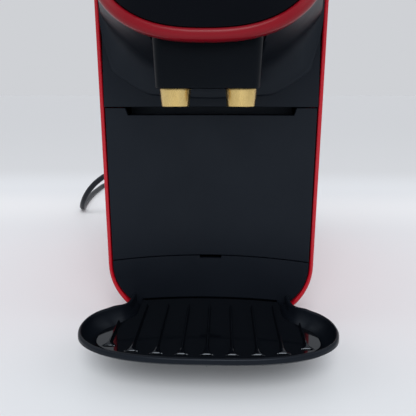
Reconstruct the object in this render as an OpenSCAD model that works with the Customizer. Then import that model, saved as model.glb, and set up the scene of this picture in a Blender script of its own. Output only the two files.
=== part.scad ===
// Narrow pod coffee machine: side casings around a concave cup niche, a round-nosed brewing head with a
// lifting lever, a twin brass spout, a used-capsule drawer, a flared drip tray and a lift-off water tank.
// Z is up, the front faces -Y, and the origin is on the table under the middle of the machine.

/* [Overall] */
// Height to the top of the lever
height = 280; // [276:1:284]
// Depth from the drip tray's front edge to the back of the water tank
depth = 403; // [400:1:408]
// Width across the two side casings
body_w = 144; // [142:1:146]
// Height of the body's top face
body_top = 272; // [272]
// Clearance under the body
ground_gap = 3; // [3]
// Radius of the body's lower corners, seen from the front
corner_r = 42; // [40:1:42]
// Radius of the body's upper corners, seen from the front
top_r = 34; // [32:1:36]
// Wall thickness of the side casings
casing_t = 2.6; // [2.4:0.1:2.8]

/* [Cup niche] */
// Radius of the niche's concave face, seen from above
niche_r = 248; // [248]
// How far the niche's middle lies behind the casing edges
niche_depth = 9.5; // [9.5]
// Height of the seam above the capsule drawer
drawer_top = 154; // [153:0.5:155]
// Height of the seam between the drip tray's upright and the capsule drawer, at the middle
upright_top = 49.5; // [48:0.5:50]

/* [Brewing head] */
// How far the head reaches in front of the casings
head_reach = 77; // [75:1:78]
// Half width of the red ring
ring_a = 66; // [66]
// Width of the red ring's face
ring_w = 5.8; // [5:0.2:6.4]
// Height of the middle of the ring, where its sides are upright
ring_z = 254; // [254]
// Radius of the head where it meets the niche
root_r = 80; // [80]

/* [Spout] */
// Distance between the two nozzles
nozzle_pitch = 36.6; // [35:0.2:37]
// Diameter of a nozzle at its top
nozzle_top_d = 16.4; // [15.6:0.2:16.6]
// Diameter of a nozzle at its mouth
nozzle_end_d = 14.5; // [14:0.1:15]
// Height of the nozzle mouths above the table
nozzle_z = 156; // [155.4:0.2:156.4]

/* [Drip tray] */
// Width across the drip tray
tray_w = 157; // [155:1:158]
// How far the tray reaches in front of the casings
tray_reach = 86; // [86]
// Height of the tray's rim
tray_rim = 25.5; // [25:0.5:26]
// Number of ribs on the drip plate
rib_count = 9; // [7:2:9]
// Distance between ribs
rib_pitch = 14.7; // [14:0.1:14.8]

/* [Water tank] */
// Width of the water tank
tank_w = 130; // [124:1:130]
// Depth of the water tank
tank_d = 74; // [72:1:74]
// Height of the housing that the tank stands on
seat_z = 88; // [88]
// Height of the tank's rim
tank_top = 258; // [250:1:260]

/* [Lever and buttons] */
// Number of buttons on the top
button_count = 4; // [4]
// Diameter of a button
button_d = 12.6; // [12:0.2:12.8]
// Distance between buttons
button_pitch = 16; // [15.6:0.2:16.4]

/* [Mains lead] */
// Diameter of the mains lead
lead_d = 7; // [7]
// Mean radius of the stored coil
coil_r = 38.5; // [38.5]

/* [Hidden] */
$fn = 96;

// Driving places, all derived
face_y = tray_reach - depth / 2;          // front edges of the side casings
back_y = depth / 2;                       // back of the tank and its housing
wall_y = back_y - tank_d - 3;             // back of the main body
half_w = body_w / 2;
niche_axis_y = face_y + niche_depth - niche_r;
panel_t = 2.5;                            // thickness of the niche's panels
seam = 0.6;                               // gap between panels that part
deck_z = 158;                             // shelf that carries the brewing unit
deck_t = 3;
bay_d = 132;                              // depth of the bay for the capsule drawer
tray_floor = 6.4;                         // underside of the tray
plate_z = 14.6;                           // underside of the drip plate
plate_t = 2.4;
tray_inset = 3.4;                         // tray's sides, measured in from the casing's outside
tray_t = 2.2;
saucer_y = face_y - 50;                   // widest place of the tray's flared front
neck_x = 56;                              // half width of the tray between its front and the body
lever_y = face_y + 105;                   // lever's hinge
lever_z = 276;
pin_r = 1.6;
lid_y = back_y - 4;                       // lid's hinge
lid_z = tank_top + 4;
lid_pin_r = 1.3;
piston_z = 219;
rod_x = 30;
rod_r = 3;
pump_y = back_y - tank_d / 2 + 2;
pump_z = 42;
seat_x = 24;                              // water outlet under the tank
gland_y = 170;
gland_z = 66;
housing_x = 64;                           // half width of the housing under the tank
housing_t = 2.5;
sleeve_l = 25;                            // length of the strain relief's taper

// ---- outlines ----

// One quadrant term of a rounded, squarish oval
function squared(v, n) = sign(v) * pow(abs(v), 2 / n);

// Closed oval with different reaches below and above its middle line
function oval(a, low, high, n = 2.5) = [
    for (t = [0:6:354])
        [a * squared(cos(t), n), (sin(t) < 0 ? low : high) * squared(sin(t), n)]
];

// The body's outline seen from the front, drawn in from the outside by inset
module body_outline(inset) {
    low_x = half_w - corner_r;
    low_z = ground_gap + corner_r;
    high_x = half_w - top_r;
    high_z = body_top - top_r;
    for (s = [-1, 1]) {
        translate([s * low_x, low_z]) circle(r = corner_r - inset);
        translate([s * high_x, high_z]) circle(r = top_r - inset);
    }
    translate([inset - half_w, low_z]) square([body_w - 2 * inset, high_z - low_z]);
    translate([-low_x, ground_gap + inset]) square([2 * low_x, low_z]);
    translate([-high_x, high_z]) square([2 * high_x, top_r - inset]);
}

// Extrudes a front-view shape from y0 back to y1
module along_y(y0, y1) {
    translate([0, y1, 0]) rotate([90, 0, 0]) linear_extrude(y1 - y0) children();
}

module body_solid(inset, y0, y1) {
    along_y(y0, y1) body_outline(inset);
}

// A box from its lowest corner to its highest
module block(lo, hi) {
    translate(lo) cube([hi[0] - lo[0], hi[1] - lo[1], hi[2] - lo[2]]);
}

// A block that is the same to the left and the right
module middle_block(x, y0, y1, z0, z1) {
    block([-x, y0, z0], [x, y1, z1]);
}

// Upright curved sheet of the niche, from z0 to z1
module niche_sheet(z0, z1, thickness = panel_t) {
    intersection() {
        difference() {
            translate([0, niche_axis_y, z0]) cylinder(r = niche_r + thickness, h = z1 - z0, $fn = 360);
            translate([0, niche_axis_y, z0 - 1]) cylinder(r = niche_r, h = z1 - z0 + 2, $fn = 360);
        }
        middle_block(half_w, face_y - 2, face_y + 20, z0, z1);
    }
}

// Wide shallow arch that the seam above the upright follows
module seam_arch(top, y0, y1) {
    arch_r = 1650;
    translate([0, y1, top - arch_r]) rotate([90, 0, 0]) cylinder(r = arch_r, h = y1 - y0, $fn = 720);
}

// ---- casings and panels ----

module casing(side) {
    color("firebrick")
    difference() {
        intersection() {
            difference() {
                body_solid(0, face_y, wall_y);
                body_solid(casing_t, face_y - 1, wall_y + 1);
            }
            translate([side > 0 ? 0 : -half_w, face_y, 0]) cube([half_w, wall_y - face_y, body_top]);
        }
        middle_block(half_w - corner_r, face_y - 1, wall_y + 1, 0, 20);
        middle_block(half_w - top_r, face_y - 1, wall_y + 1, body_top - 20, body_top + 1);
    }
}

module casing_left() casing(-1);
module casing_right() casing(1);

module front_panel() {
    color("#24272d")
    difference() {
        intersection() {
            niche_sheet(drawer_top + seam / 2, body_top);
            body_solid(casing_t + 0.3, face_y - 3, face_y + 20);
        }
        along_y(face_y - 3, face_y + 20) translate([0, ring_z - 1.6]) circle(r = root_r + 0.3);
    }
}

// ---- brewing head ----

// Front outline of the head, drawn in by inset
module head_outline(inset) {
    low = 67 - inset;
    high = body_top - ring_z - inset;
    translate([0, ring_z]) polygon(oval(ring_a - inset, low, high));
}

// Nose of the head seen from above, moved back by shift
module nose(shift) {
    plan = [for (t = [180:4:360]) [72 * squared(cos(t), 2.5), head_reach * squared(sin(t), 2.5)]];
    translate([0, face_y + shift, 100])
        linear_extrude(200) polygon(concat(plan, [[72, 40], [-72, 40]]));
}

// Whole envelope of the head: the ring's outline swells into a round root on the niche
module head_envelope(inset) {
    straight = 50;
    root_back = 14;
    hull() {
        along_y(face_y - head_reach, face_y - straight) head_outline(inset);
        along_y(face_y, face_y + root_back) intersection() {
            translate([0, ring_z - 1.6]) circle(r = root_r - inset + 1);
            body_outline(casing_t + inset);
        }
    }
}

// Trapezoid around the spout that is cut out of the head's underside
module collar_zone(grow) {
    translate([0, 0, 160]) linear_extrude(38) polygon([
        [-47 - grow, face_y - 76], [-30 - grow, face_y - 54], [-30 - grow, face_y - 24],
        [30 + grow, face_y - 24], [30 + grow, face_y - 54], [47 + grow, face_y - 76]
    ]);
}

module head_wall() {
    wall_t = 2.4;
    intersection() {
        difference() {
            head_envelope(1);
            head_envelope(1 + wall_t);
            along_y(face_y - 10, face_y + 20) intersection() {
                translate([0, ring_z - 1.6]) circle(r = root_r - wall_t);
                body_outline(casing_t + 1 + wall_t);
            }
        }
        nose(8.3);
    }
}

module head_shell() {
    color("#1c1e23") difference() {
        head_wall();
        collar_zone(0.3);
    }
}

module spout_collar() {
    color("#1c1e23") difference() {
        intersection() {
            head_wall();
            collar_zone(0);
        }
        middle_block(25, face_y - 54, face_y - 31, 160, 200);
    }
}

module head_ring() {
    color("crimson") intersection() {
        along_y(face_y - head_reach - 2, face_y) difference() {
            head_outline(0);
            head_outline(ring_w);
        }
        difference() {
            nose(-1.2);
            nose(8);
        }
    }
}

module head_front() {
    color("#0b0c0f") intersection() {
        along_y(face_y - head_reach - 2, face_y) head_outline(ring_w + 0.2);
        difference() {
            nose(0.8);
            nose(6);
        }
    }
}

// ---- spout ----

spout_top_x = 29.5;
spout_end_x = 27.5;
spout_y0 = face_y - 58;
spout_y1 = face_y - 29;
spout_z = nozzle_z + 9.6;
nozzle_y = face_y - 44;

// Tapered block with round upright edges, drawn in by inset
module spout_block(inset, z0, z1) {
    edge = 5;
    hull() for (s = [-1, 1]) for (y = [spout_y0 + edge, spout_y1 - edge]) {
        translate([s * (spout_end_x - edge), y, z0]) cylinder(r = edge - inset, h = 0.1, $fn = 32);
        translate([s * (spout_top_x - edge), y, z1]) cylinder(r = edge - inset, h = 0.1, $fn = 32);
    }
}

module spout_body() {
    wall_t = 2.2;
    color("#15171b") difference() {
        spout_block(0, spout_z, 200);
        spout_block(wall_t, spout_z + wall_t, 201);
        head_envelope(1);
        for (s = [-1, 1]) translate([s * nozzle_pitch / 2, nozzle_y, spout_z - 1]) cylinder(d = 9, h = 5);
    }
}

module nozzle(side) {
    bore_d = 10;
    notch = 2.4;
    color("goldenrod") translate([side * nozzle_pitch / 2, nozzle_y, nozzle_z]) difference() {
        cylinder(d1 = nozzle_end_d, d2 = nozzle_top_d, h = spout_z - nozzle_z);
        translate([0, 0, -1]) cylinder(d = bore_d, h = 20);
        for (a = [0:60:300]) rotate([0, 0, a]) translate([bore_d / 2 + 1.6, -notch / 2, 8.7])
            cube([4, notch, 2]);
    }
}

module nozzle_left() nozzle(-1);
module nozzle_right() nozzle(1);

// Carries the coffee forward from the brewing unit and splits it between the two nozzles
module coffee_funnel() {
    floor_z = 194;
    color("#2a2c30") difference() {
        union() {
            middle_block(12, face_y - 40, face_y + 20, floor_z, floor_z + 5);
            middle_block(24, face_y - 51, face_y - 37, floor_z, floor_z + 5);
            for (s = [-1, 1]) translate([s * nozzle_pitch / 2, nozzle_y, spout_z + 3])
                cylinder(d = 8, h = floor_z - spout_z - 2);
        }
        middle_block(10, face_y - 42, face_y + 18, floor_z + 1.6, floor_z + 6);
        middle_block(22, face_y - 49, face_y - 39, floor_z + 1.6, floor_z + 6);
        for (s = [-1, 1]) translate([s * nozzle_pitch / 2, nozzle_y, spout_z]) cylinder(d = 5, h = 60);
    }
}

// ---- capsule drawer ----

bin_x = 58;
bin_t = 2;
bin_z0 = 53;
bin_z1 = 146;

module drawer_front() {
    grip_z = drawer_top - 5;              // lower edge of the finger opening
    grip_x = 56;
    color("#1f2227") difference() {
        union() {
            niche_sheet(upright_top - 4, drawer_top - seam / 2);
            difference() {
                middle_block(grip_x, face_y, face_y + 26, grip_z - 2.2, grip_z);
                translate([0, niche_axis_y, 0]) cylinder(r = niche_r, h = 300, $fn = 360);
            }
        }
        difference() {
            middle_block(half_w + 1, face_y - 3, face_y + 30, 0, drawer_top + 10);
            body_solid(casing_t + 0.8, face_y - 4, face_y + 31);
        }
        seam_arch(upright_top + seam, face_y - 3, face_y + 30);
        along_y(face_y - 3, face_y + 22) polygon([
            [-grip_x, drawer_top + 1], [1.5 - grip_x, grip_z], [grip_x - 1.5, grip_z], [grip_x, drawer_top + 1]
        ]);
    }
}

module capsule_bin() {
    color("#202329") difference() {
        middle_block(bin_x, face_y - 4, face_y + 126, bin_z0, bin_z1);
        translate([0, niche_axis_y, 0]) cylinder(r = niche_r + panel_t, h = 300, $fn = 360);
        difference() {
            middle_block(bin_x - bin_t, face_y - 4, face_y + 126 - bin_t, bin_z0 + bin_t, bin_z1 + 1);
            translate([0, niche_axis_y, 0]) cylinder(r = niche_r + panel_t + bin_t, h = 300, $fn = 360);
        }
    }
}

// ---- drip tray ----

// A level, squarish oval with its own reach to each side, to the front and to the back
module tray_oval(x, front, back, z, h) {
    translate([0, saucer_y, z]) linear_extrude(h) polygon([
        for (t = [0:4:356]) [x * squared(cos(t), 2.6), (sin(t) < 0 ? front : back) * squared(sin(t), 2.6)]
    ]);
}

// The flared front as one solid, drawn in by inset and starting at floor_z
module saucer(inset, floor_z, top_z) {
    hull() {
        tray_oval(tray_w / 2 - inset, 36 - inset, 30 - inset, tray_rim - 4, top_z - tray_rim + 4);
        tray_oval(71.5 - inset, 22 - inset, 29 - inset, 13.4, 0.1);
        tray_oval(57.5 - inset, 11 - inset, 20 - inset, floor_z, 0.1);
    }
}

// The tray's back part keeps the body's rounded section
module tongue(inset, y0, y1, z0, z1) {
    intersection() {
        body_solid(inset, y0, y1);
        middle_block(half_w, y0, y1, z0, z1);
    }
}

// The narrower part between the flared front and the body, drawn in by inset
module neck(inset, y1, z0, z1) {
    intersection() {
        tongue(tray_inset + inset, saucer_y, y1, z0, z1);
        middle_block(neck_x - inset, saucer_y, y1, z0, z1);
    }
}

module drip_tray() {
    back = 76;
    tank_y = face_y + 15;                 // front of the drip reservoir
    tank_z = 44;                          // height of its walls
    floor_t = 2.2;
    inner = tray_inset + tray_t;
    color("#101115") difference() {
        union() {
            saucer(0, tray_floor, tray_rim);
            neck(0, tank_y + 1, tray_floor, tray_rim);
            tongue(tray_inset, tank_y, face_y + back, tray_floor, tank_z);
        }
        saucer(tray_t, tray_floor + floor_t, tray_rim + 1);
        neck(tray_t, tank_y + 3, tray_floor + floor_t, tray_rim + 1);
        tongue(inner, tank_y - 1, tank_y + 3, tray_rim, tank_z + 1);
        tongue(inner, tank_y + tray_t, face_y + back - tray_t, tray_floor + floor_t, tank_z + 1);
    }
    color("#101115") for (x = [-34, 0, 34]) for (y = [face_y - 56, face_y - 14])
        translate([x, y, tray_floor + floor_t]) cylinder(d = 5, h = plate_z - tray_floor - floor_t);
}

module tray_upright() {
    foot_z = plate_z + plate_t + 0.6;
    notch_x = 7.7;
    notch_h = 1.8;
    color("#0e1014") difference() {
        intersection() {
            niche_sheet(foot_z, upright_top);
            seam_arch(upright_top, face_y - 3, face_y + 22);
            union() {
                tongue(tray_inset, face_y - 2, face_y + 20, tray_rim, 60);
                neck(tray_t + 0.3, face_y + 20, foot_z, tray_rim);
            }
        }
        middle_block(notch_x, face_y - 2, face_y + 20, upright_top - notch_h, 60);
    }
}

// One rib with its small flared foot at the front
module plate_rib(x) {
    rib_t = 1.6;
    rib_z = plate_z + plate_t;
    rib_h = 2.6;
    foot_x = 4.6;
    front = face_y - 68 + 8 * pow(abs(x) / 59, 4);
    rib_back = face_y - (abs(x) > 52 ? 31 : 6);
    block([x - rib_t / 2, front + 5, rib_z], [x + rib_t / 2, rib_back, rib_z + rib_h]);
    translate([x, 0, rib_z]) linear_extrude(1.2) polygon([
        [-foot_x, front], [foot_x, front], [foot_x - 1.4, front + 3],
        [rib_t / 2, front + 9], [-rib_t / 2, front + 9], [1.4 - foot_x, front + 3]
    ]);
}

module drip_plate() {
    color("#0b0c10") union() {
        difference() {
            union() {
                tray_oval(68.6, 21, 25.8, plate_z, plate_t);
                neck(tray_t + 0.5, face_y + 9, plate_z, plate_z + plate_t);
            }
            difference() {
                middle_block(half_w, face_y - 8, face_y + 20, 0, 40);
                translate([0, niche_axis_y, 0]) cylinder(r = niche_r - 1.5, h = 40, $fn = 360);
            }
        }
        for (i = [0:rib_count - 1]) plate_rib((i - (rib_count - 1) / 2) * rib_pitch);
    }
}

// ---- base and housing ----

foot_places = [
    [-24, face_y - 34], [24, face_y - 34], [-24, face_y + 150], [24, face_y + 150],
    [-50, back_y - 18], [50, back_y - 18]
];
screw_places = [[0, face_y - 40], [0, face_y + 30], [-20, face_y + 200], [20, face_y + 200]];

module base_plate() {
    plate_h = 3;
    color("#26282c") difference() {
        union() {
            middle_block(34, face_y - 46, face_y, ground_gap, ground_gap + plate_h);
            middle_block(half_w - corner_r, face_y, wall_y, ground_gap, ground_gap + plate_h);
            middle_block(housing_x - housing_t, wall_y, back_y - 30, ground_gap, ground_gap + plate_h);
            translate([0, 0, ground_gap]) linear_extrude(plate_h) tank_plan(tank_w / 2 - housing_x + housing_t);
        }
        for (p = screw_places) translate([p[0], p[1], 0]) cylinder(d = 3.6, h = 20);
    }
}

module feet() {
    color("#3a3b3d") for (p = foot_places) translate([p[0], p[1], 0]) {
        cylinder(d1 = 13, d2 = 14, h = 1);
        translate([0, 0, 1]) cylinder(d = 14, h = ground_gap - 1);
    }
}

module base_screws() {
    color("silver") for (p = screw_places) translate([p[0], p[1], 0]) {
        translate([0, 0, 1.2]) cylinder(d = 6.4, h = ground_gap - 1.2);
        translate([0, 0, ground_gap]) cylinder(d = 3.4, h = 3);
    }
}

module rear_housing() {
    inner_x = housing_x - housing_t;
    color("#1d1f24") difference() {
        union() {
            body_solid(casing_t + 0.3, wall_y - 3, wall_y);
            translate([0, 0, ground_gap]) linear_extrude(seat_z - ground_gap) tank_plan(tank_w / 2 - housing_x);
            middle_block(housing_x, wall_y, back_y - tank_d + 5, ground_gap, seat_z);
            intersection() {
                middle_block(housing_x, wall_y - 2, wall_y + 2, ground_gap, seat_z);
                body_solid(casing_t + 0.3, wall_y - 3, wall_y + 3);
            }
        }
        linear_extrude(seat_z - housing_t) tank_plan(tank_w / 2 - inner_x);
        middle_block(inner_x, wall_y, back_y - 30, 0, seat_z - housing_t);
        middle_block(half_w - corner_r, wall_y - 4, wall_y + 1, 0, ground_gap + 3.2);
        middle_block(inner_x - 6, wall_y - 4, wall_y + 1, 12, seat_z - 12);
        translate([seat_x, pump_y, 60]) cylinder(d = 12, h = 40);
        translate([-housing_x - 1, gland_y, gland_z]) rotate([0, 90, 0]) cylinder(d = 12, h = 10);
        for (s = [-1, 1]) for (z = [120, 240]) translate([s * 40, wall_y + 1, z]) rotate([90, 0, 0])
            cylinder(d = 3.6, h = 6);
        for (i = [-4:4]) block([i * 9 - 1.5, wall_y - 4, 256], [i * 9 + 1.5, wall_y + 1, 264]);
    }
}

module housing_screws() {
    color("silver") for (s = [-1, 1]) for (z = [120, 240]) translate([s * 40, wall_y, z]) rotate([90, 0, 0]) {
        translate([0, 0, -1.6]) cylinder(d = 6.4, h = 1.6);
        cylinder(d = 3.4, h = 10);
    }
}

module chassis() {
    bay_y = face_y + bay_d;
    color("#4a4d52") difference() {
        union() {
            intersection() {
                union() {
                    middle_block(66, face_y + 16, wall_y - 3.4, deck_z, deck_z + deck_t);
                    middle_block(66, bay_y, bay_y + deck_t, ground_gap + 3, deck_z);
                }
                body_solid(casing_t + 0.4, face_y + 16, wall_y - 3.4);
            }
        }
        middle_block(26, face_y + 15, face_y + 66, deck_z - 1, deck_z + deck_t + 1);
        translate([-40, face_y + 185, deck_z - 1]) cylinder(d = 10, h = 6);
        translate([54, face_y + 190, deck_z - 1]) cylinder(d = 12, h = 6);
    }
}

// ---- top cover, lever and buttons ----

slot_x = 23;
slot_y0 = face_y + 34;
slot_y1 = face_y + 67;
cover_z = body_top - casing_t;
tail_x = 18;
tail_t = 4;
button_y = face_y + 146;
panel_x = 36;
panel_half = 14;

module top_cover() {
    cover_x = half_w - top_r - 0.2;
    color("#17191d") difference() {
        union() {
            middle_block(cover_x, face_y + 14.4, wall_y, cover_z, body_top);
            for (s = [-1, 1]) block([s > 0 ? 30 : -34, lever_y - 5, body_top],
                [s > 0 ? 34 : -30, lever_y + 5, lever_z + 4]);
            for (s = [-1, 1]) for (y = [-9, 9]) translate([s * 32, button_y + y, 259.6])
                cylinder(d = 5, h = cover_z - 259.6);
        }
        middle_block(slot_x, slot_y0, slot_y1, cover_z - 1, body_top + 1);
        for (s = [-1, 1]) block([s > 0 ? tail_x - 1 : -tail_x - tail_t - 1, lever_y - 34, cover_z - 1],
            [s > 0 ? tail_x + tail_t + 1 : 1 - tail_x, lever_y + 3, body_top + 1]);
        middle_block(panel_x, button_y - panel_half, button_y + panel_half, cover_z + 0.6, body_top + 1);
        for (i = [0:button_count - 1]) translate([button_x(i), button_y, cover_z - 1]) cylinder(d = 15.4, h = 4);
        translate([-40, lever_y, lever_z]) rotate([0, 90, 0]) cylinder(r = pin_r, h = 80);
    }
}

function button_x(i) = (i - (button_count - 1) / 2) * button_pitch;

module capsule_chute() {
    color("#33363b") difference() {
        middle_block(slot_x + 2, slot_y0 - 2, slot_y1 + 2, 252, cover_z);
        middle_block(slot_x, slot_y0, slot_y1, 251, cover_z + 1);
    }
}

module lever() {
    hood_x = 44;
    hood_y0 = face_y - 80;
    hood_z0 = body_top + 0.8;
    corner = 16;
    color("#0c0d10") difference() {
        union() {
            for (s = [-1, 1]) translate([s * (hood_x - corner), hood_y0 + corner, hood_z0])
                cylinder(r = corner, h = height - hood_z0);
            middle_block(hood_x - corner, hood_y0, hood_y0 + corner, hood_z0, height);
            middle_block(hood_x, hood_y0 + corner, lever_y - 10, hood_z0, height);
            middle_block(29.4, lever_y - 10, lever_y, hood_z0, height);
            translate([-29.4, lever_y, lever_z]) rotate([0, 90, 0]) cylinder(r = 3.2, h = 58.8);
            for (s = [-1, 1]) block([s > 0 ? tail_x : -tail_x - tail_t, lever_y - 7, 249],
                [s > 0 ? tail_x + tail_t : -tail_x, lever_y - 1, hood_z0 + 1]);
        }
        translate([-40, lever_y, lever_z]) rotate([0, 90, 0]) cylinder(r = pin_r + 0.05, h = 80);
        middle_block(34, hood_y0 + 18, face_y + 24, hood_z0 - 1, hood_z0 + 4);
        middle_block(hood_x - 16, hood_y0 - 1, hood_y0 + 1, hood_z0 - 1, height - 4);
    }
}

module lever_trim() {
    color("silver") middle_block(27.8, face_y - 80, face_y - 79, body_top + 1, height - 4.2);
}

module lever_pin() {
    color("silver") translate([-34, lever_y, lever_z]) rotate([0, 90, 0]) cylinder(r = pin_r, h = 68);
}

module button_panel() {
    color("#08090b") difference() {
        middle_block(panel_x - 0.2, button_y - panel_half + 0.2, button_y + panel_half - 0.2,
            cover_z + 0.6, body_top + 0.6);
        for (i = [0:button_count - 1]) translate([button_x(i), button_y, cover_z - 1])
            cylinder(d = button_d + 0.6, h = 8);
    }
}

module button(i) {
    travel_gap = 2;
    color("#3b3e44") translate([button_x(i), button_y, 0]) {
        translate([0, 0, cover_z - 3.4]) cylinder(d = button_d, h = 3.4 + casing_t + travel_gap);
        translate([0, 0, cover_z - 4.6]) cylinder(d = 14.6, h = 1.2);
    }
}

module button_1() button(0);
module button_2() button(1);
module button_3() button(2);
module button_4() button(3);

module button_board() {
    board_z = 258;
    color("darkgreen") {
        middle_block(35, button_y - 12, button_y + 12, board_z, board_z + 1.6);
        for (i = [0:button_count - 1]) translate([button_x(i) - 3, button_y - 3, board_z + 1.6])
            cube([6, 6, 3.4]);
    }
}

// ---- brewing unit ----

brew_z = deck_z + deck_t;

module brew_frame() {
    color("#6d7176") for (s = [-1, 1]) block([s > 0 ? 36 : -38.5, face_y + 16, brew_z],
        [s > 0 ? 38.5 : -36, face_y + 98, 262]);
}

module injector() {
    color("#8b8f94") difference() {
        middle_block(36, face_y + 66, face_y + 96, 192, 240);
        translate([0, face_y + 65, piston_z]) rotate([-90, 0, 0]) cylinder(d = 34, h = 7);
        translate([0, face_y + 70, piston_z]) rotate([-90, 0, 0]) cylinder(d = 4, h = 30);
    }
}

module guide_rods() {
    color("silver") for (s = [-1, 1]) translate([s * rod_x, face_y - 4, piston_z]) rotate([-90, 0, 0])
        cylinder(r = rod_r, h = 70);
}

module brew_piston() {
    color("#b9bcc0") difference() {
        middle_block(34.6, face_y + 22, face_y + 58, 200, 240);
        translate([0, face_y + 34, piston_z]) rotate([-90, 0, 0]) cylinder(d1 = 30, d2 = 38, h = 25);
        translate([0, face_y + 21, piston_z]) rotate([-90, 0, 0]) cylinder(d = 6, h = 20);
        for (s = [-1, 1]) translate([s * rod_x, face_y + 21, piston_z]) rotate([-90, 0, 0])
            cylinder(r = rod_r + 0.06, h = 40);
    }
}

module drive_links() {
    color("silver") for (s = [-1, 1]) difference() {
        union() {
            block([s > 0 ? 12 : -16, face_y + 34, 240], [s > 0 ? 16 : -12, face_y + 46, 250]);
            block([s > 0 ? 12 : -16, face_y + 40, 242], [s > 0 ? 16 : -12, face_y + 92, 250]);
        }
        translate([s * 14 - 3, face_y + 87, 246]) rotate([0, 90, 0]) cylinder(d = 3, h = 6);
    }
}

// ---- water system ----

module pump() {
    half_l = 44;
    color("#9a8f7a") translate([0, pump_y, pump_z]) rotate([0, 90, 0]) {
        translate([0, 0, -half_l]) cylinder(d = 30, h = 2 * half_l);
        translate([0, 0, -18]) cylinder(d = 46, h = 36);
        translate([0, 0, half_l]) cylinder(d = 8, h = 8);
        translate([0, 0, -half_l - 8]) cylinder(d = 8, h = 8);
    }
}

module pump_mounts() {
    color("#2b2b2b") for (s = [-1, 1]) difference() {
        translate([s * 32 - 4, pump_y - 21, ground_gap + 3]) cube([8, 42, pump_z + 14]);
        translate([s * 32 - 5, pump_y, pump_z]) rotate([0, 90, 0]) cylinder(d = 30, h = 10);
    }
}

module flow_meter() {
    color("#dfe3e6") translate([seat_x, pump_y, 0]) {
        translate([0, 0, 71]) cylinder(d = 24, h = 11);
        translate([0, 0, 82]) cylinder(d = 6, h = seat_z - housing_t - 82 + 2.4);
    }
}

module heater() {
    y0 = face_y + 150;
    color("#a7abb0") {
        block([-58, y0, 96], [-24, y0 + 70, 150]);
        translate([-40, y0 + 35, 150]) cylinder(d = 8, h = 4);
        translate([-50, y0 + 70, 108]) rotate([-90, 0, 0]) cylinder(d = 8, h = 4);
    }
}

module heater_bracket() {
    y0 = face_y + bay_d + deck_t;
    color("#74787d") {
        block([-58, y0, 92], [-24, y0 + 85, 95.9]);
        block([-58, y0, 95.9], [-24, y0 + 3, 120]);
    }
}

module control_board() {
    y0 = face_y + bay_d + deck_t;
    color("darkgreen") {
        block([58, y0, 50], [59.6, y0 + 78, 140]);
        block([44, y0 + 6, 60], [58, y0 + 30, 84]);
        block([48, y0 + 40, 70], [58, y0 + 62, 90]);
        block([50, y0 + 10, 100], [58, y0 + 64, 112]);
    }
}

// A round hose through points that each lie square to the last, with a ball at each bend
module hose(points, d) {
    for (i = [0:len(points) - 2]) {
        run = points[i + 1] - points[i];
        turn = run[0] != 0 ? [0, 90 * sign(run[0]), 0]
            : run[1] != 0 ? [-90 * sign(run[1]), 0, 0]
            : [run[2] < 0 ? 180 : 0, 0, 0];
        translate(points[i]) rotate(turn) cylinder(d = d, h = norm(run), $fn = 24);
        if (i > 0) translate(points[i]) sphere(d = d, $fn = 24);
    }
}

module cold_hose() {
    color("#e6e6e0") hose([[seat_x + 12, pump_y, 76], [57, pump_y, 76], [57, pump_y, pump_z],
        [52, pump_y, pump_z]], 6);
}

module pump_hose() {
    inlet_y = face_y + 230;
    color("#e6e6e0") hose([[-52, pump_y, pump_z], [-56, pump_y, pump_z], [-56, pump_y, 68], [-50, pump_y, 68],
        [-50, inlet_y, 68], [-50, inlet_y, 108], [-50, face_y + 224, 108]], 6);
}

module hot_hose() {
    color("#e6e6e0") hose([[-40, face_y + 185, 154], [-40, face_y + 185, 219], [0, face_y + 185, 219],
        [0, face_y + 96, 219]], 6);
}

module wiring() {
    color("#b23b3b") hose([[54, face_y + 190, 112], [54, face_y + 190, 240], [30, face_y + 190, 240],
        [30, button_y + 6, 240], [30, button_y + 6, 258]], 5);
}

// ---- water tank ----

module tank_seat() {
    color("#3a3d42") translate([seat_x, pump_y, seat_z - housing_t]) difference() {
        union() {
            translate([0, 0, housing_t]) cylinder(d = 26, h = 6);
            cylinder(d = 12, h = housing_t);
        }
        translate([0, 0, -1]) cylinder(d = 6.2, h = 20);
        translate([0, 0, housing_t + 3]) cylinder(d = 21, h = 4);
    }
}

module seat_seal() {
    color("#222222") translate([seat_x, pump_y, seat_z + 3]) difference() {
        cylinder(d = 20.6, h = 2.4);
        translate([0, 0, -1]) cylinder(d = 14, h = 5);
    }
}

// Plan of the tank: square at the front, round at the back
module tank_plan(inset) {
    x = tank_w / 2;
    y0 = back_y - tank_d;
    corner = 18;
    for (s = [-1, 1]) translate([s * (x - corner), back_y - corner]) circle(r = corner - inset);
    translate([inset - x, y0 + inset]) square([2 * (x - inset), tank_d - corner - inset]);
    translate([corner - x, y0 + inset]) square([2 * (x - corner), tank_d - 2 * inset]);
}

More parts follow.
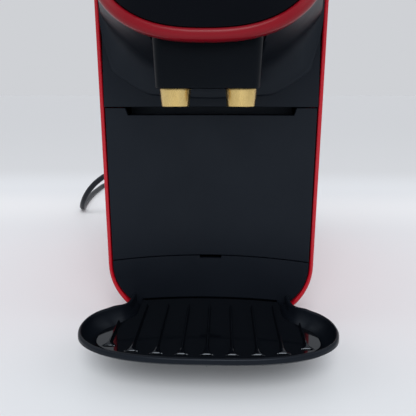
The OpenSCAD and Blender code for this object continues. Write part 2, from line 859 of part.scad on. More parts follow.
module water_tank() {
    wall_t = 2.6;
    base = seat_z + 0.2;
    floor_z = base + 10;
    ear_in = 20.4;                          // ears stand outside the lid's knuckle
    ear_out = 25;
    ear_r = 4;                              // round about the pin, so the lid's back edge swings past
    color([0.35, 0.38, 0.42, 0.5]) difference() {
        union() {
            translate([0, 0, base]) linear_extrude(tank_top - base) tank_plan(0);
            for (s = [-1, 1]) hull() {
                block([s > 0 ? ear_in : -ear_out, lid_y - ear_r, tank_top - 2],
                    [s > 0 ? ear_out : -ear_in, lid_y + ear_r, lid_z]);
                translate([s > 0 ? ear_in : -ear_out, lid_y, lid_z]) rotate([0, 90, 0])
                    cylinder(r = ear_r, h = ear_out - ear_in);
            }
        }
        translate([0, 0, floor_z + wall_t]) linear_extrude(tank_top - floor_z - 4) tank_plan(wall_t);
        translate([0, 0, tank_top - 3]) linear_extrude(3.1) intersection() {
            tank_plan(wall_t);
            translate([-100, back_y - tank_d]) square([200, tank_d - 10]);
        }
        translate([0, 0, base - 1]) linear_extrude(floor_z - base + 1) tank_plan(wall_t);
        translate([seat_x, pump_y, floor_z - 1]) cylinder(d = 18.2, h = 6);
        translate([-30, lid_y, lid_z]) rotate([0, 90, 0]) cylinder(r = lid_pin_r, h = 60);
    }
}

module tank_valve() {
    color("#d8dadd") translate([seat_x, pump_y, seat_z + 9.4]) {
        cylinder(d = 18, h = 12);
        translate([0, 0, 12]) cylinder(d = 12, h = 14);
    }
}

module tank_lid() {
    color("#17191d") difference() {
        union() {
            translate([0, 0, tank_top + 0.4]) linear_extrude(6.4) intersection() {
                tank_plan(0.4);
                translate([-100, 0]) square([200, lid_y - 5]);
            }
            middle_block(20, lid_y - 6, lid_y, tank_top + 1, tank_top + 6.8);
            translate([-20, lid_y, lid_z]) rotate([0, 90, 0]) cylinder(r = 3, h = 40);
        }
        translate([-30, lid_y, lid_z]) rotate([0, 90, 0]) cylinder(r = lid_pin_r + 0.05, h = 60);
        translate([0, back_y - tank_d, tank_top + 6.8]) scale([1, 1, 0.35]) sphere(d = 26);
    }
}

module lid_pin() {
    color("silver") translate([-25, lid_y, lid_z]) rotate([0, 90, 0]) cylinder(r = lid_pin_r, h = 50);
}

// ---- mains lead ----

// Strain relief: a flange each side of the wall, then a tapering sleeve
module cord_gland() {
    color("#202226") translate([-housing_x, gland_y, gland_z]) rotate([0, -90, 0]) {
        translate([0, 0, -housing_t - 2.5]) cylinder(d = 18, h = 2.5);
        translate([0, 0, -housing_t]) cylinder(d = 12, h = housing_t);
        cylinder(d = 18, h = 3);
        translate([0, 0, 3]) cylinder(d1 = 13, d2 = 9, h = sleeve_l);
    }
}

// Lead: out of the sleeve, down to the table, back beside the machine and round to the coil
lead_rest = 3.6;
coil_x = -78;
coil_y = 350;
coil_z = 1;
lead_points = [
    [-92, 170, 66], [-112, 170, 66], [-127, 170, 64], [-142, 171, 59], [-155, 173, 51], [-166, 176, 41],
    [-175, 181, 30], [-182, 188, 19], [-187, 198, 10], [-191, 211, 5], [-194, 226, lead_rest],
    [-197, 244, lead_rest], [-199, 262, lead_rest], [-201, 280, lead_rest], [-202, 298, lead_rest],
    [-203, 316, lead_rest], [-203, 334, lead_rest], [-203, 352, lead_rest], [-202, 370, lead_rest],
    [-198, 386, lead_rest], [-190, 400, lead_rest], [-177, 410, lead_rest], [-161, 413, lead_rest],
    [-145, 410, lead_rest], [-131, 402, lead_rest], [-122, 389, lead_rest], [-118, 373, lead_rest + 0.4],
    [-116.5, 360, coil_z + lead_d / 2], [coil_x - coil_r, coil_y, coil_z + lead_d / 2]
];
tail_points = [
    [-120.5, 362, coil_z + 1.5 * lead_d], [-123.5, 350, 11.5], [-122, 336, 11.5], [-115.5, 320, 12],
    [-104.5, 308, 14], [-91, 300.5, 16.5], [-77, 297.5, 17.8], [-64, 297, 18]
];
plug_x = tail_points[7][0];
plug_y = tail_points[7][1];
plug_z = tail_points[7][2];

// Direction of the lead at a point
function heading(p, i) =
    let (a = p[max(i - 1, 0)], b = p[min(i + 1, len(p) - 1)]) (b - a) / norm(b - a);

// A ring of corners square to the lead
function lead_ring(p, i, r, sides) =
    let (
        t = heading(p, i),
        u = cross(t, [0, 0, 1]) / norm(cross(t, [0, 0, 1])),
        v = cross(u, t)
    ) [for (k = [0:sides - 1]) p[i] + r * (cos(360 * k / sides) * u + sin(360 * k / sides) * v)];

module lead_tube(p, sides = 10) {
    n = len(p);
    rings = [for (i = [0:n - 1]) each lead_ring(p, i, lead_d / 2, sides)];
    skin = [for (i = [0:n - 2]) for (k = [0:sides - 1])
        let (a = i * sides + k, b = i * sides + (k + 1) % sides)
        [a, b, b + sides, a + sides]];
    polyhedron(points = rings, faces = concat(skin,
        [[for (k = [sides - 1:-1:0]) k]], [[for (k = [0:sides - 1]) (n - 1) * sides + k]]));
}

module cord() {
    color("#1a1a1c") lead_tube(lead_points);
}

module cord_coil() {
    color("#1a1a1c") translate([coil_x, coil_y, coil_z]) rotate_extrude()
        translate([coil_r - lead_d / 2, 0]) square([lead_d, 2 * lead_d]);
}

module cord_tail() {
    color("#1a1a1c") lead_tube(tail_points);
}

module plug() {
    color("#1a1a1c") translate([plug_x, plug_y, plug_z]) rotate([0, 90, 0]) {
        cylinder(d1 = 12, d2 = 18, h = 22);
        translate([0, 0, 22]) cylinder(d1 = 26, d2 = 34, h = 8);
        translate([0, 0, 30]) cylinder(d = 35, h = 14);
    }
}

module plug_pins() {
    color("silver") for (s = [-1, 1]) translate([plug_x + 44, plug_y + s * 9.5, plug_z]) rotate([0, 90, 0]) {
        cylinder(d = 4.8, h = 18);
        translate([0, 0, 18]) cylinder(d1 = 4.8, d2 = 3, h = 1);
    }
}

casing_left();
casing_right();
front_panel();
head_shell();
head_ring();
head_front();
spout_collar();
spout_body();
nozzle_left();
nozzle_right();
coffee_funnel();
drawer_front();
capsule_bin();
drip_tray();
tray_upright();
drip_plate();
base_plate();
feet();
base_screws();
rear_housing();
housing_screws();
chassis();
top_cover();
capsule_chute();
lever();
lever_trim();
lever_pin();
button_panel();
button_1();
button_2();
button_3();
button_4();
button_board();
brew_frame();
injector();
guide_rods();
brew_piston();
drive_links();
pump();
pump_mounts();
flow_meter();
heater();
heater_bracket();
control_board();
cold_hose();
pump_hose();
hot_hose();
wiring();
tank_seat();
seat_seal();
water_tank();
tank_valve();
tank_lid();
lid_pin();
cord_gland();
cord();
cord_coil();
cord_tail();
plug();
plug_pins();
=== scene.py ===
import math

import bmesh
import bpy
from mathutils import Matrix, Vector


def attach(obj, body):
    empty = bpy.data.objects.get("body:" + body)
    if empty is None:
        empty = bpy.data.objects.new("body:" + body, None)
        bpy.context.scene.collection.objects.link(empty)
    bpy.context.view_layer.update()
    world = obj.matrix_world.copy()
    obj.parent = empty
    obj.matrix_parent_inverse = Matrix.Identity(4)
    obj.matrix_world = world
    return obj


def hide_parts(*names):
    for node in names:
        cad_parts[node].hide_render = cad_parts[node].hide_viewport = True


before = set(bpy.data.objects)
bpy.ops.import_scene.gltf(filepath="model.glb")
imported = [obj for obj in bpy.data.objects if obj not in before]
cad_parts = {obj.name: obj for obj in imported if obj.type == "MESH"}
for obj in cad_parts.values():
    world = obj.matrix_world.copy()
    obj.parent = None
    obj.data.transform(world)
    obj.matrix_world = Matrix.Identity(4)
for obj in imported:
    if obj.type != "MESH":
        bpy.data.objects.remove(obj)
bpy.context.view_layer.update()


# ---- Camera ----
# A camera close in front of the machine at the height of the cup niche, looking slightly down into the drip
# tray. It stands a little to the right and turns back to the middle.

camera_data = bpy.data.cameras.new("camera")
camera_data.sensor_width = 36.0
camera_data.lens = 39.89
camera = bpy.data.objects.new("camera", camera_data)
camera.location = (0.00855, -0.4197, 0.1640)
camera.rotation_euler = (math.radians(90 - 14.155), 0.0, math.radians(1.90))
bpy.context.scene.collection.objects.link(camera)
bpy.context.scene.camera = camera


# ---- Mains lead ----
# A round three-core lead in soft black PVC. It leaves a tapered sleeve low on the left of the machine, drops
# to the table, runs back beside the machine and is stored in two turns, with its moulded plug beside them.

MM = 0.001
LEAD_D = 7.0
COIL = (-78.0, 350.0)
COIL_R = 38.5
LOW = 4.5
HIGH = LOW + LEAD_D

lead_route = [
    (-92, 170, 66), (-112, 170, 66), (-127, 170, 64), (-142, 171, 59), (-155, 173, 51), (-166, 176, 41),
    (-175, 181, 30), (-182, 188, 19), (-187, 198, 10), (-191, 211, 5), (-194, 226, 3.6), (-197, 244, 3.6),
    (-199, 262, 3.6), (-201, 280, 3.6), (-202, 298, 3.6), (-203, 316, 3.6), (-203, 334, 3.6),
    (-203, 352, 3.6), (-202, 370, 3.6), (-198, 386, 3.6), (-190, 400, 3.6), (-177, 410, 3.6),
    (-161, 413, 3.6), (-145, 410, 3.6), (-131, 402, 3.6), (-122, 389, 3.6), (-118, 373, 4.0),
    (-116.5, 360, 4.5),
]


# The coil's turns: the first lies on the table and climbs onto the incoming lead, the second lies on the
# first and swings outwards at its end. Each row is degrees from the start, radius and height.
coil_rows = [(turn, COIL_R, LOW) for turn in range(0, 286, 15)]
coil_rows += [(300, COIL_R, 4.7), (312, COIL_R, 6.0), (324, COIL_R, 8.8), (336, COIL_R, 10.9)]
coil_rows += [(348, COIL_R, HIGH)]
coil_rows += [(turn, COIL_R, HIGH) for turn in range(360, 631, 15)]
coil_rows += [(645, COIL_R + 0.8, HIGH), (660, COIL_R + 2.6, HIGH), (675, COIL_R + 4.6, HIGH)]
coil_rows += [(690, COIL_R + 6.2, HIGH), (705, COIL_R + 7.0, HIGH), (720, COIL_R + 7.0, HIGH)]
for turn, reach, height in coil_rows:
    angle = math.radians(180 + turn)
    lead_route.append((COIL[0] + reach * math.cos(angle), COIL[1] + reach * math.sin(angle), height))
lead_route += [
    (-122, 336, 11.5), (-115.5, 320, 12), (-104.5, 308, 14), (-91, 300.5, 16.5), (-77, 297.5, 17.8),
    (-64, 297, 18),
]


def linear(code):
    """Turns a paint code such as "a01020" into the colour numbers that a shader mixes"""
    parts = [int(code[i:i + 2], 16) / 255 for i in (0, 2, 4)]
    return tuple(c / 12.92 if c <= 0.04045 else ((c + 0.055) / 1.055) ** 2.4 for c in parts) + (1.0,)


def finish(name, dark, light, gloss, grain, depth, cloud=35.0, stretch=(1, 1, 1), uneven=0.06, **sockets):
    """A surface finish: clouds of two tones, uneven gloss, and a fine grain. Sizes are in millimetres"""
    material = bpy.data.materials.new(name)
    material.use_nodes = True
    nodes = material.node_tree.nodes
    links = material.node_tree.links
    shader = nodes["Principled BSDF"]
    coords = nodes.new("ShaderNodeTexCoord")
    lay = nodes.new("ShaderNodeMapping")
    lay.inputs["Scale"].default_value = stretch
    links.new(coords.outputs["Object"], lay.inputs["Vector"])

    clouds = nodes.new("ShaderNodeTexNoise")
    clouds.inputs["Scale"].default_value = 1 / (cloud * MM)
    clouds.inputs["Detail"].default_value = 4.0
    links.new(lay.outputs["Vector"], clouds.inputs["Vector"])
    tone = nodes.new("ShaderNodeMix")
    tone.data_type = "RGBA"
    tone.inputs["A"].default_value = linear(dark)
    tone.inputs["B"].default_value = linear(light)
    links.new(clouds.outputs["Fac"], tone.inputs["Factor"])
    links.new(tone.outputs["Result"], shader.inputs["Base Color"])

    rub = nodes.new("ShaderNodeTexNoise")
    rub.inputs["Scale"].default_value = 1 / (0.4 * cloud * MM)
    rub.inputs["Detail"].default_value = 3.0
    links.new(lay.outputs["Vector"], rub.inputs["Vector"])
    sheen = nodes.new("ShaderNodeMapRange")
    sheen.inputs["From Min"].default_value = 0.3
    sheen.inputs["From Max"].default_value = 0.7
    sheen.inputs["To Min"].default_value = max(gloss - uneven, 0.02)
    sheen.inputs["To Max"].default_value = min(gloss + uneven, 1.0)
    links.new(rub.outputs["Fac"], sheen.inputs["Value"])
    links.new(sheen.outputs["Result"], shader.inputs["Roughness"])

    texture = nodes.new("ShaderNodeTexNoise")
    texture.inputs["Scale"].default_value = 1 / (grain * MM)
    texture.inputs["Detail"].default_value = 2.0
    links.new(lay.outputs["Vector"], texture.inputs["Vector"])
    bump = nodes.new("ShaderNodeBump")
    bump.inputs["Strength"].default_value = 0.6
    bump.inputs["Distance"].default_value = depth * MM
    links.new(texture.outputs["Fac"], bump.inputs["Height"])
    links.new(bump.outputs["Normal"], shader.inputs["Normal"])

    for socket, value in sockets.items():
        shader.inputs[socket.replace("_", " ")].default_value = value
    return material


pvc = finish(
    "soft_pvc", "07080b", "101319", 0.42, 0.5, 0.03, uneven=0.08,
    Specular_IOR_Level=0.3, Specular_Tint=(0.78, 0.88, 1.0, 1.0),
)
lead_curve = bpy.data.curves.new("mains_lead", "CURVE")
lead_curve.dimensions = "3D"
lead_curve.bevel_depth = LEAD_D / 2 * MM
lead_curve.bevel_resolution = 5
lead_curve.resolution_u = 5
lead_curve.use_fill_caps = True
strand = lead_curve.splines.new("BEZIER")
strand.bezier_points.add(len(lead_route) - 1)
for knot, spot in zip(strand.bezier_points, lead_route):
    knot.co = Vector(spot) * MM
    knot.handle_left_type = "AUTO"
    knot.handle_right_type = "AUTO"
lead = bpy.data.objects.new("mains_lead", lead_curve)
lead_curve.materials.append(pvc)
bpy.context.scene.collection.objects.link(lead)
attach(lead, "machine")
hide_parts("cord", "cord_coil", "cord_tail")


def put_together(name, shape, material, body, slot, *cad_nodes, wall=0.0, soft_edge=0.0):
    """Makes a shape drawn in millimetres into a piece, shades it and hangs it on its body"""
    bmesh.ops.remove_doubles(shape, verts=shape.verts[:], dist=0.002)
    shape.normal_update()
    # A wall grows against the normals, so a sheet that faces up at its lowest point is turned over first
    lowest = min(shape.faces, key=lambda f: f.calc_center_median().z)
    if wall and lowest.normal.z > 0:
        bmesh.ops.reverse_faces(shape, faces=shape.faces[:])
    bmesh.ops.scale(shape, verts=shape.verts[:], vec=(MM, MM, MM))
    # Sharp bends stay sharp, and so do edges where more than two faces meet
    crease = math.radians(32)
    for face in shape.faces:
        face.smooth = True
    for edge in shape.edges:
        edge.smooth = len(edge.link_faces) < 3 and edge.calc_face_angle(0.0) < crease
    mesh = bpy.data.meshes.new(name)
    shape.to_mesh(mesh)
    shape.free()
    mesh.materials.append(material)
    piece = bpy.data.objects.new(name, mesh)
    bpy.context.scene.collection.objects.link(piece)
    if wall:
        thick = piece.modifiers.new("wall", "SOLIDIFY")
        thick.thickness = wall * MM
        thick.offset = -1.0
    if soft_edge:
        rounding = piece.modifiers.new("soft_edge", "BEVEL")
        rounding.width = soft_edge * MM
        rounding.segments = 2
        rounding.limit_method = "ANGLE"
        rounding.angle_limit = math.radians(50)
    even = piece.modifiers.new("even_shading", "WEIGHTED_NORMAL")
    even.keep_sharp = True
    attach(piece, body)
    if cad_nodes:
        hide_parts(*cad_nodes)
    return piece


def turned(profile, foot, axis, steps=64):
    """A round piece: the profile's (radius, height) corners are spun about an axis through foot"""
    shape = bmesh.new()
    along = Vector(axis).normalized()
    side = along.orthogonal().normalized()
    corners = [shape.verts.new(Vector(foot) + side * r + along * h) for r, h in profile]
    for first, second in zip(corners, corners[1:]):
        shape.edges.new((first, second))
    bmesh.ops.spin(
        shape, geom=shape.verts[:] + shape.edges[:], cent=foot, axis=along,
        angle=math.tau, steps=steps, use_merge=True,
    )
    bmesh.ops.remove_doubles(shape, verts=shape.verts[:], dist=0.002)
    bmesh.ops.recalc_face_normals(shape, faces=shape.faces[:])
    return shape


plug_profile = [
    (0, 0), (5.2, 0), (6.0, 0.8), (6.2, 3.0), (5.6, 3.4), (5.6, 4.6), (6.8, 5.0), (7.0, 8.0), (6.4, 8.4),
    (6.4, 9.6), (7.7, 10.0), (8.2, 14.0), (8.8, 18.0), (10.6, 21.0), (13.6, 22.6), (15.4, 24.6),
    (16.6, 28.0), (17.2, 30.6), (17.5, 33.0), (17.5, 36.0), (17.1, 36.4), (17.1, 37.4), (17.5, 37.8),
    (17.5, 42.6), (17.1, 43.6), (16.2, 44.0), (14.0, 44.0), (13.6, 43.6), (13.6, 43.0), (0, 43.0),
]
hard_pvc = finish("moulded_plug", "09090b", "15161a", 0.38, 0.35, 0.02)
plug = put_together(
    "mains_plug", turned(plug_profile, (-64, 297, 18), (1, 0, 0)), hard_pvc,
    "machine", "plug_black", "plug",
)

# A flat rubber tie holds the two turns together
tie = bmesh.new()
tie_line = []
for step in range(24):
    turn = math.tau * (step + 0.5) / 24
    half_height = math.copysign(3.4, math.sin(turn))
    tie_line.append(tie.verts.new(
        (COIL[0] + COIL_R + 4.3 * math.cos(turn), COIL[1] - 3, 8 + half_height + 4.3 * math.sin(turn))
    ))
tie_edges = [tie.edges.new(pair) for pair in zip(tie_line, tie_line[1:] + tie_line[:1])]
drawn = bmesh.ops.extrude_edge_only(tie, edges=tie_edges)["geom"]
bmesh.ops.translate(tie, verts=[v for v in drawn if isinstance(v, bmesh.types.BMVert)], vec=(0, 6, 0))
bmesh.ops.recalc_face_normals(tie, faces=tie.faces[:])
rubber = finish("strain_relief_rubber", "0a0a0c", "17181b", 0.55, 0.4, 0.03)
tie = put_together("lead_tie", tie, rubber, "machine", "cord_black", wall=0.7)

# Sleeve where the lead leaves the housing: a flange, then soft rings that get thinner towards the lead
sleeve_profile = [(0, -1.0), (8.6, -1.0), (9.0, -0.6), (9.0, 2.2), (8.2, 3.0), (6.9, 3.0)]
for ring in range(8):
    radius = 6.5 - 0.25 * ring
    start = 3.3 + 2.95 * ring
    sleeve_profile += [(radius, start), (radius, start + 1.7), (radius - 0.75, start + 2.0)]
    sleeve_profile += [(radius - 0.75, start + 2.7)]
sleeve_profile += [(4.5, 27.2), (4.4, 28.0), (3.3, 28.0), (3.3, 20.0), (0, 20.0)]
put_together(
    "lead_sleeve", turned(sleeve_profile, (-64, 170, 66), (-1, 0, 0), 40), rubber,
    "machine", "rubber", "cord_gland",
)


# ---- Table and light ----
# A pale table in a pale room that is a little dimmer in front of the machine. The table's colour is painted
# lighter in a band just behind the machine and darker towards the front: a painted pool of light and painted
# shade. Far behind, it turns the grey of the room. Soft daylight falls from overhead, and two weak lamps
# stand at the sides.

table_shape = bmesh.new()
bmesh.ops.create_grid(table_shape, x_segments=4, y_segments=4, size=20.0)
table_mesh = bpy.data.meshes.new("table")
table_shape.to_mesh(table_mesh)
table_shape.free()
table = bpy.data.objects.new("table", table_mesh)
bpy.context.scene.collection.objects.link(table)

table_painted_light = bpy.data.materials.new("pale_table_painted_light")
table_painted_light.use_nodes = True
nodes = table_painted_light.node_tree.nodes
links = table_painted_light.node_tree.links
shader = nodes["Principled BSDF"]
shader.inputs["Roughness"].default_value = 0.5
shader.inputs["Specular IOR Level"].default_value = 0.2
coords = nodes.new("ShaderNodeTexCoord")
split = nodes.new("ShaderNodeSeparateXYZ")
links.new(coords.outputs["Object"], split.inputs["Vector"])
depth = nodes.new("ShaderNodeMapRange")
depth.inputs["From Min"].default_value = -0.4
depth.inputs["From Max"].default_value = 0.6
links.new(split.outputs["Y"], depth.inputs["Value"])
# The ramp paints light and shade into the table: brightest in a band just behind the machine, darker towards
# the front, greyer far behind
shade = nodes.new("ShaderNodeValToRGB")
shade.color_ramp.interpolation = "EASE"
shade.color_ramp.elements[0].position = 0.05
shade.color_ramp.elements[0].color = linear("dde0e3")
shade.color_ramp.elements[1].position = 0.99
shade.color_ramp.elements[1].color = linear("d7d8da")
for part, tone in ((0.5, "e4e6e9"), (0.64, "ecedef"), (0.76, "e4e6e9")):
    shade.color_ramp.elements.new(part).color = linear(tone)
links.new(depth.outputs["Result"], shade.inputs["Fac"])
links.new(shade.outputs["Color"], shader.inputs["Base Color"])
table_mesh.materials.append(table_painted_light)

room = bpy.data.worlds.new("room")
bpy.context.scene.world = room
room.use_nodes = True
nodes = room.node_tree.nodes
links = room.node_tree.links
coords = nodes.new("ShaderNodeTexCoord")
split = nodes.new("ShaderNodeSeparateXYZ")
links.new(coords.outputs["Generated"], split.inputs["Vector"])
toward = nodes.new("ShaderNodeMapRange")
toward.inputs["From Min"].default_value = -0.9
toward.inputs["From Max"].default_value = 0.1
links.new(split.outputs["Y"], toward.inputs["Value"])
walls = nodes.new("ShaderNodeMix")
walls.data_type = "RGBA"
walls.inputs["A"].default_value = linear("c4c7cc")
walls.inputs["B"].default_value = linear("cfd1d5")
links.new(toward.outputs["Result"], walls.inputs["Factor"])
links.new(walls.outputs["Result"], nodes["Background"].inputs["Color"])
nodes["Background"].inputs["Strength"].default_value = 1.0

daylight_data = bpy.data.lights.new("daylight", "SUN")
daylight_data.energy = 1.3
daylight_data.angle = math.radians(32)
daylight = bpy.data.objects.new("daylight", daylight_data)
daylight.rotation_euler = (math.radians(38), math.radians(3), 0)
bpy.context.scene.collection.objects.link(daylight)


def softbox(name, place, aim, width, height, power):
    """A large rectangular lamp that points from its place to its aim"""
    lamp_data = bpy.data.lights.new(name, "AREA")
    lamp_data.shape = "RECTANGLE"
    lamp_data.size = width
    lamp_data.size_y = height
    lamp_data.energy = power
    lamp = bpy.data.objects.new(name, lamp_data)
    lamp.location = place
    lamp.rotation_euler = (Vector(aim) - Vector(place)).to_track_quat("-Z", "Y").to_euler()
    bpy.context.scene.collection.objects.link(lamp)


softbox("front_fill", (0, -1.3, 0.4), (0, -0.25, 0), 1.6, 0.3, 5.0)
bpy.data.objects["front_fill"].visible_glossy = False
softbox("side_left", (-0.9, -0.25, 0.75), (0, -0.1, 0.15), 0.5, 0.8, 1.0)
softbox("side_right", (0.9, -0.25, 0.75), (0, -0.1, 0.15), 0.5, 0.8, 1.0)
bpy.context.scene.view_settings.view_transform = "Standard"


# ---- Side casings ----
# Two glossy red shells, injection moulded in ABS and lacquered, make the machine's left and right sides. Each
# hooks over the chassis and curls under at the bottom and over at the top; its front edge is rounded.

FACE = -115.5
WALL = 124.5
HALF_W = 72.0
FOOT_Z = 3.0
TOP_Z = 272.0
FOOT_R = 42.0
TOP_R = 34.0
CASING_T = 2.6


def section(shape, side, inset, y):
    """Corner points of one side of the body's section, from the underside round to the top"""
    low = shape.verts.new((side * (HALF_W - FOOT_R), y, FOOT_Z + inset))
    chain = bmesh.ops.spin(
        shape, geom=[low], cent=(side * (HALF_W - FOOT_R), y, FOOT_Z + FOOT_R), axis=(0, 1, 0),
        angle=-side * math.pi / 2, steps=20, use_merge=False,
    )
    middle = [v for v in chain["geom_last"] if isinstance(v, bmesh.types.BMVert)][0]
    upper = shape.verts.new((side * (HALF_W - inset), y, TOP_Z - TOP_R))
    shape.edges.new((middle, upper))
    chain = bmesh.ops.spin(
        shape, geom=[upper], cent=(side * (HALF_W - TOP_R), y, TOP_Z - TOP_R), axis=(0, 1, 0),
        angle=-side * math.pi / 2, steps=20, use_merge=False,
    )
    last = [v for v in chain["geom_last"] if isinstance(v, bmesh.types.BMVert)][0]
    return low, last


def pull(shape, faces, move):
    """Extrudes faces and moves the new ones"""
    made = bmesh.ops.extrude_face_region(shape, geom=faces)
    new = [v for v in made["geom"] if isinstance(v, bmesh.types.BMVert)]
    bmesh.ops.translate(shape, verts=new, vec=move)
    return [f for f in made["geom"] if isinstance(f, bmesh.types.BMFace)]


def round_edges(shape, width, segments, wanted):
    """Rounds the sharp edges whose middle and direction are wanted"""
    chosen = []
    for edge in shape.edges:
        middle = (edge.verts[0].co + edge.verts[1].co) / 2
        if edge.calc_face_angle(0.0) > math.radians(25) and wanted(middle, edge):
            chosen.append(edge)
    bmesh.ops.bevel(
        shape, geom=chosen, offset=width, offset_type="OFFSET", segments=segments,
        profile=0.5, affect="EDGES", clamp_overlap=True, material=-1,
    )


red_lacquer = finish(
    "red_lacquer", "a30a1b", "aa0b1d", 0.26, 1.4, 0.004, cloud=60.0, uneven=0.03,
    Specular_IOR_Level=0.3, Coat_Weight=0.15, Coat_Roughness=0.1,
)
for side, name in ((-1, "left"), (1, "right")):
    shape = bmesh.new()
    outer_low, outer_top = section(shape, side, 0.0, FACE)
    inner_low, inner_top = section(shape, side, CASING_T, FACE)
    shape.edges.new((outer_low, inner_low))
    shape.edges.new((outer_top, inner_top))
    bmesh.ops.contextual_create(shape, geom=shape.edges[:])
    pull(shape, shape.faces[:], (0, WALL - FACE, 0))
    bmesh.ops.recalc_face_normals(shape, faces=shape.faces[:])
    round_edges(shape, 1.0, 4, lambda m, e: m.y < FACE + 0.1)
    round_edges(shape, 0.5, 2, lambda m, e: m.y > WALL - 0.1)
    put_together(
        "side_casing_" + name, shape, red_lacquer, "machine", "red_casing", "casing_" + name
    )


# ---- Cup niche ----
# Three satin black panels, curved like a shallow bowl seen from above: a fixed one round the head, the front
# of the capsule drawer with its finger opening, and the drip tray's upright. Narrow seams part them.

NICHE_R = 248.0
NICHE_AXIS = FACE + 9.5 - NICHE_R
PANEL_T = 2.5
SEAM_R = 1650.0


def arch(top, x):
    """Height of the wide arch at x"""
    return top - SEAM_R + math.sqrt(SEAM_R ** 2 - x ** 2)


def niche_panel(outline, lowest=None):
    """A flat outline cut into upright strips, bent round the niche and given its thickness"""
    shape = bmesh.new()
    corners = [shape.verts.new((x, 0, z)) for x, z in outline]
    shape.faces.new(corners)
    for cut in range(-68, 69, 4):
        bmesh.ops.bisect_plane(
            shape, geom=shape.verts[:] + shape.edges[:] + shape.faces[:], dist=0.0005,
            plane_co=(cut, 0, 0), plane_no=(1, 0, 0),
        )
    for corner in shape.verts:
        corner.co.y = NICHE_AXIS + math.sqrt(NICHE_R ** 2 - corner.co.x ** 2)
    pull(shape, shape.faces[:], (0, PANEL_T, 0))
    bmesh.ops.recalc_face_normals(shape, faces=shape.faces[:])
    round_edges(
        shape, 0.45, 3,
        lambda m, e: abs(m.y - NICHE_AXIS - math.sqrt(NICHE_R ** 2 - m.x ** 2)) < 0.1
        and (lowest is None or m.z < lowest),
    )
    return shape


def add_block(shape, lo, hi):
    """Adds a block between its lowest and highest corners"""
    made = bmesh.ops.create_cube(shape, size=1.0)["verts"]
    bmesh.ops.scale(shape, verts=made, vec=[b - a for a, b in zip(lo, hi)])
    bmesh.ops.translate(shape, verts=made, vec=[(a + b) / 2 for a, b in zip(lo, hi)])


satin_panel = finish(
    "satin_panel", "090c12", "0f131a", 0.45, 0.45, 0.012, cloud=70.0, uneven=0.05,
    Specular_IOR_Level=0.25, Specular_Tint=(0.78, 0.88, 1.0, 1.0),
)
drawer_x = 68.6
steps = [drawer_x * i / 10 for i in range(-10, 11)]
outline = [(x, arch(50.1, x)) for x in steps]
outline += [(drawer_x, 153.7), (56, 153.7), (54.5, 149), (-54.5, 149), (-56, 153.7), (-drawer_x, 153.7)]
drawer = niche_panel(outline)
add_block(drawer, (-56, -104.7, 146.8), (56, -89.5, 149))
add_block(drawer, (-56, -91.3, 148.9), (56, -89.5, 153.7))
put_together("drawer_panel", drawer, satin_panel, "drawer", "niche_satin", "drawer_front")


def tongue_x(z, inset):
    """Half width of the body's section at a height, drawn in by inset"""
    reach = FOOT_R - inset
    return HALF_W - FOOT_R + math.sqrt(max(reach ** 2 - max(FOOT_Z + FOOT_R - z, 0) ** 2, 0))


side_line = [(50, 17.6), (50.5, 9)]
side_line += [(tongue_x(z, 3.4), z) for z in (9, 11, 14, 17.6, 21.5, 25.5, 28, 31, 34, 37, 40, 43, 45)]
top_line = [(x, arch(49.5, x)) for x in (68.6, 60, 50, 40, 30, 20, 12, 7.7)]
half = side_line + top_line + [(7.7, 47.7)]
outline = half + [(-x, z) for x, z in reversed(half)]
put_together(
    "tray_upright_panel", niche_panel(outline), satin_panel, "tray", "niche_satin", "tray_upright"
)


# ---- Brewing head ----
# A rounded nose over the cup: a red lacquered ring frames a glossy black front, and behind the ring a satin
# black shell draws in like a funnel to a circle on the niche. A collar is let into it round the spout.

RING_Z = 254.0
RING_A = 66.0
RING_LOW = 67.0
RING_HIGH = 18.0
ROOT_Z = 252.4
ROOT_R = 80.0
HEAD_REACH = 77.0


def power(value, exponent):
    """A power that keeps the sign"""
    return math.copysign(abs(value) ** exponent, value)


def oval(turn, inset):
    """A point on the head's squarish oval, seen from the front, at a part of a turn"""
    angle = math.tau * turn
    reach = (RING_LOW if math.sin(angle) < 0 else RING_HIGH) - inset
    x = (RING_A - inset) * power(math.cos(angle), 0.8)
    return x, RING_Z + reach * power(math.sin(angle), 0.8)


def nose(x):
    """How far forward the head's rounded nose lies at x"""
    return FACE - HEAD_REACH * max(1 - abs(x / 72) ** 2.5, 0) ** 0.4


def bent_grid(around, along, place):
    """A grid bent over a form: place(u, v) gives the point for u and v between 0 and 1"""
    shape = bmesh.new()
    bmesh.ops.create_grid(shape, x_segments=around, y_segments=along, size=0.5)
    for corner in shape.verts:
        corner.co = place(corner.co.x + 0.5, corner.co.y + 0.5)
    bmesh.ops.remove_doubles(shape, verts=shape.verts[:], dist=0.01)
    bmesh.ops.recalc_face_normals(shape, faces=shape.faces[:])
    return shape


def along_path(path, part):
    """A point part of the way along a list of rows"""
    at = part * (len(path) - 1)
    i = min(int(at), len(path) - 2)
    return [a + (b - a) * (at - i) for a, b in zip(path[i], path[i + 1])]


# The ring's section: how far in from the outline, and how far behind the nose
ring_section = [
    (0.0, 8.0), (0.0, 4.5), (0.0, 1.2), (0.3, 0.1), (0.9, -0.7), (1.9, -1.15), (2.9, -1.2), (3.9, -1.15),
    (4.9, -0.7), (5.5, 0.1), (5.8, 1.2), (5.8, 4.5), (5.8, 8.0), (2.9, 8.0), (0.0, 8.0),
]


def ring_point(u, v):
    inset, back = along_path(ring_section, v)
    x, z = oval(u, inset)
    return x, nose(x) + back, z


# The ring's red is a darker copy of the casings' red lacquer: painted shade
ring_red_painted_shade = finish(
    "ring_red_painted_shade", "700815", "780917", 0.3, 1.4, 0.004, cloud=60.0, uneven=0.03,
    Specular_IOR_Level=0.17, Coat_Weight=0.05, Coat_Roughness=0.15,
)
put_together(
    "head_ring", bent_grid(160, len(ring_section) - 1, ring_point), ring_red_painted_shade,
    "machine", "red_casing", "head_ring",
)


def front_point(u, v):
    x, z = oval(u, 6.0)
    keep = 1 - v
    x *= keep
    z = 240 + (z - 240) * keep
    return x, nose(x) + 0.8, z


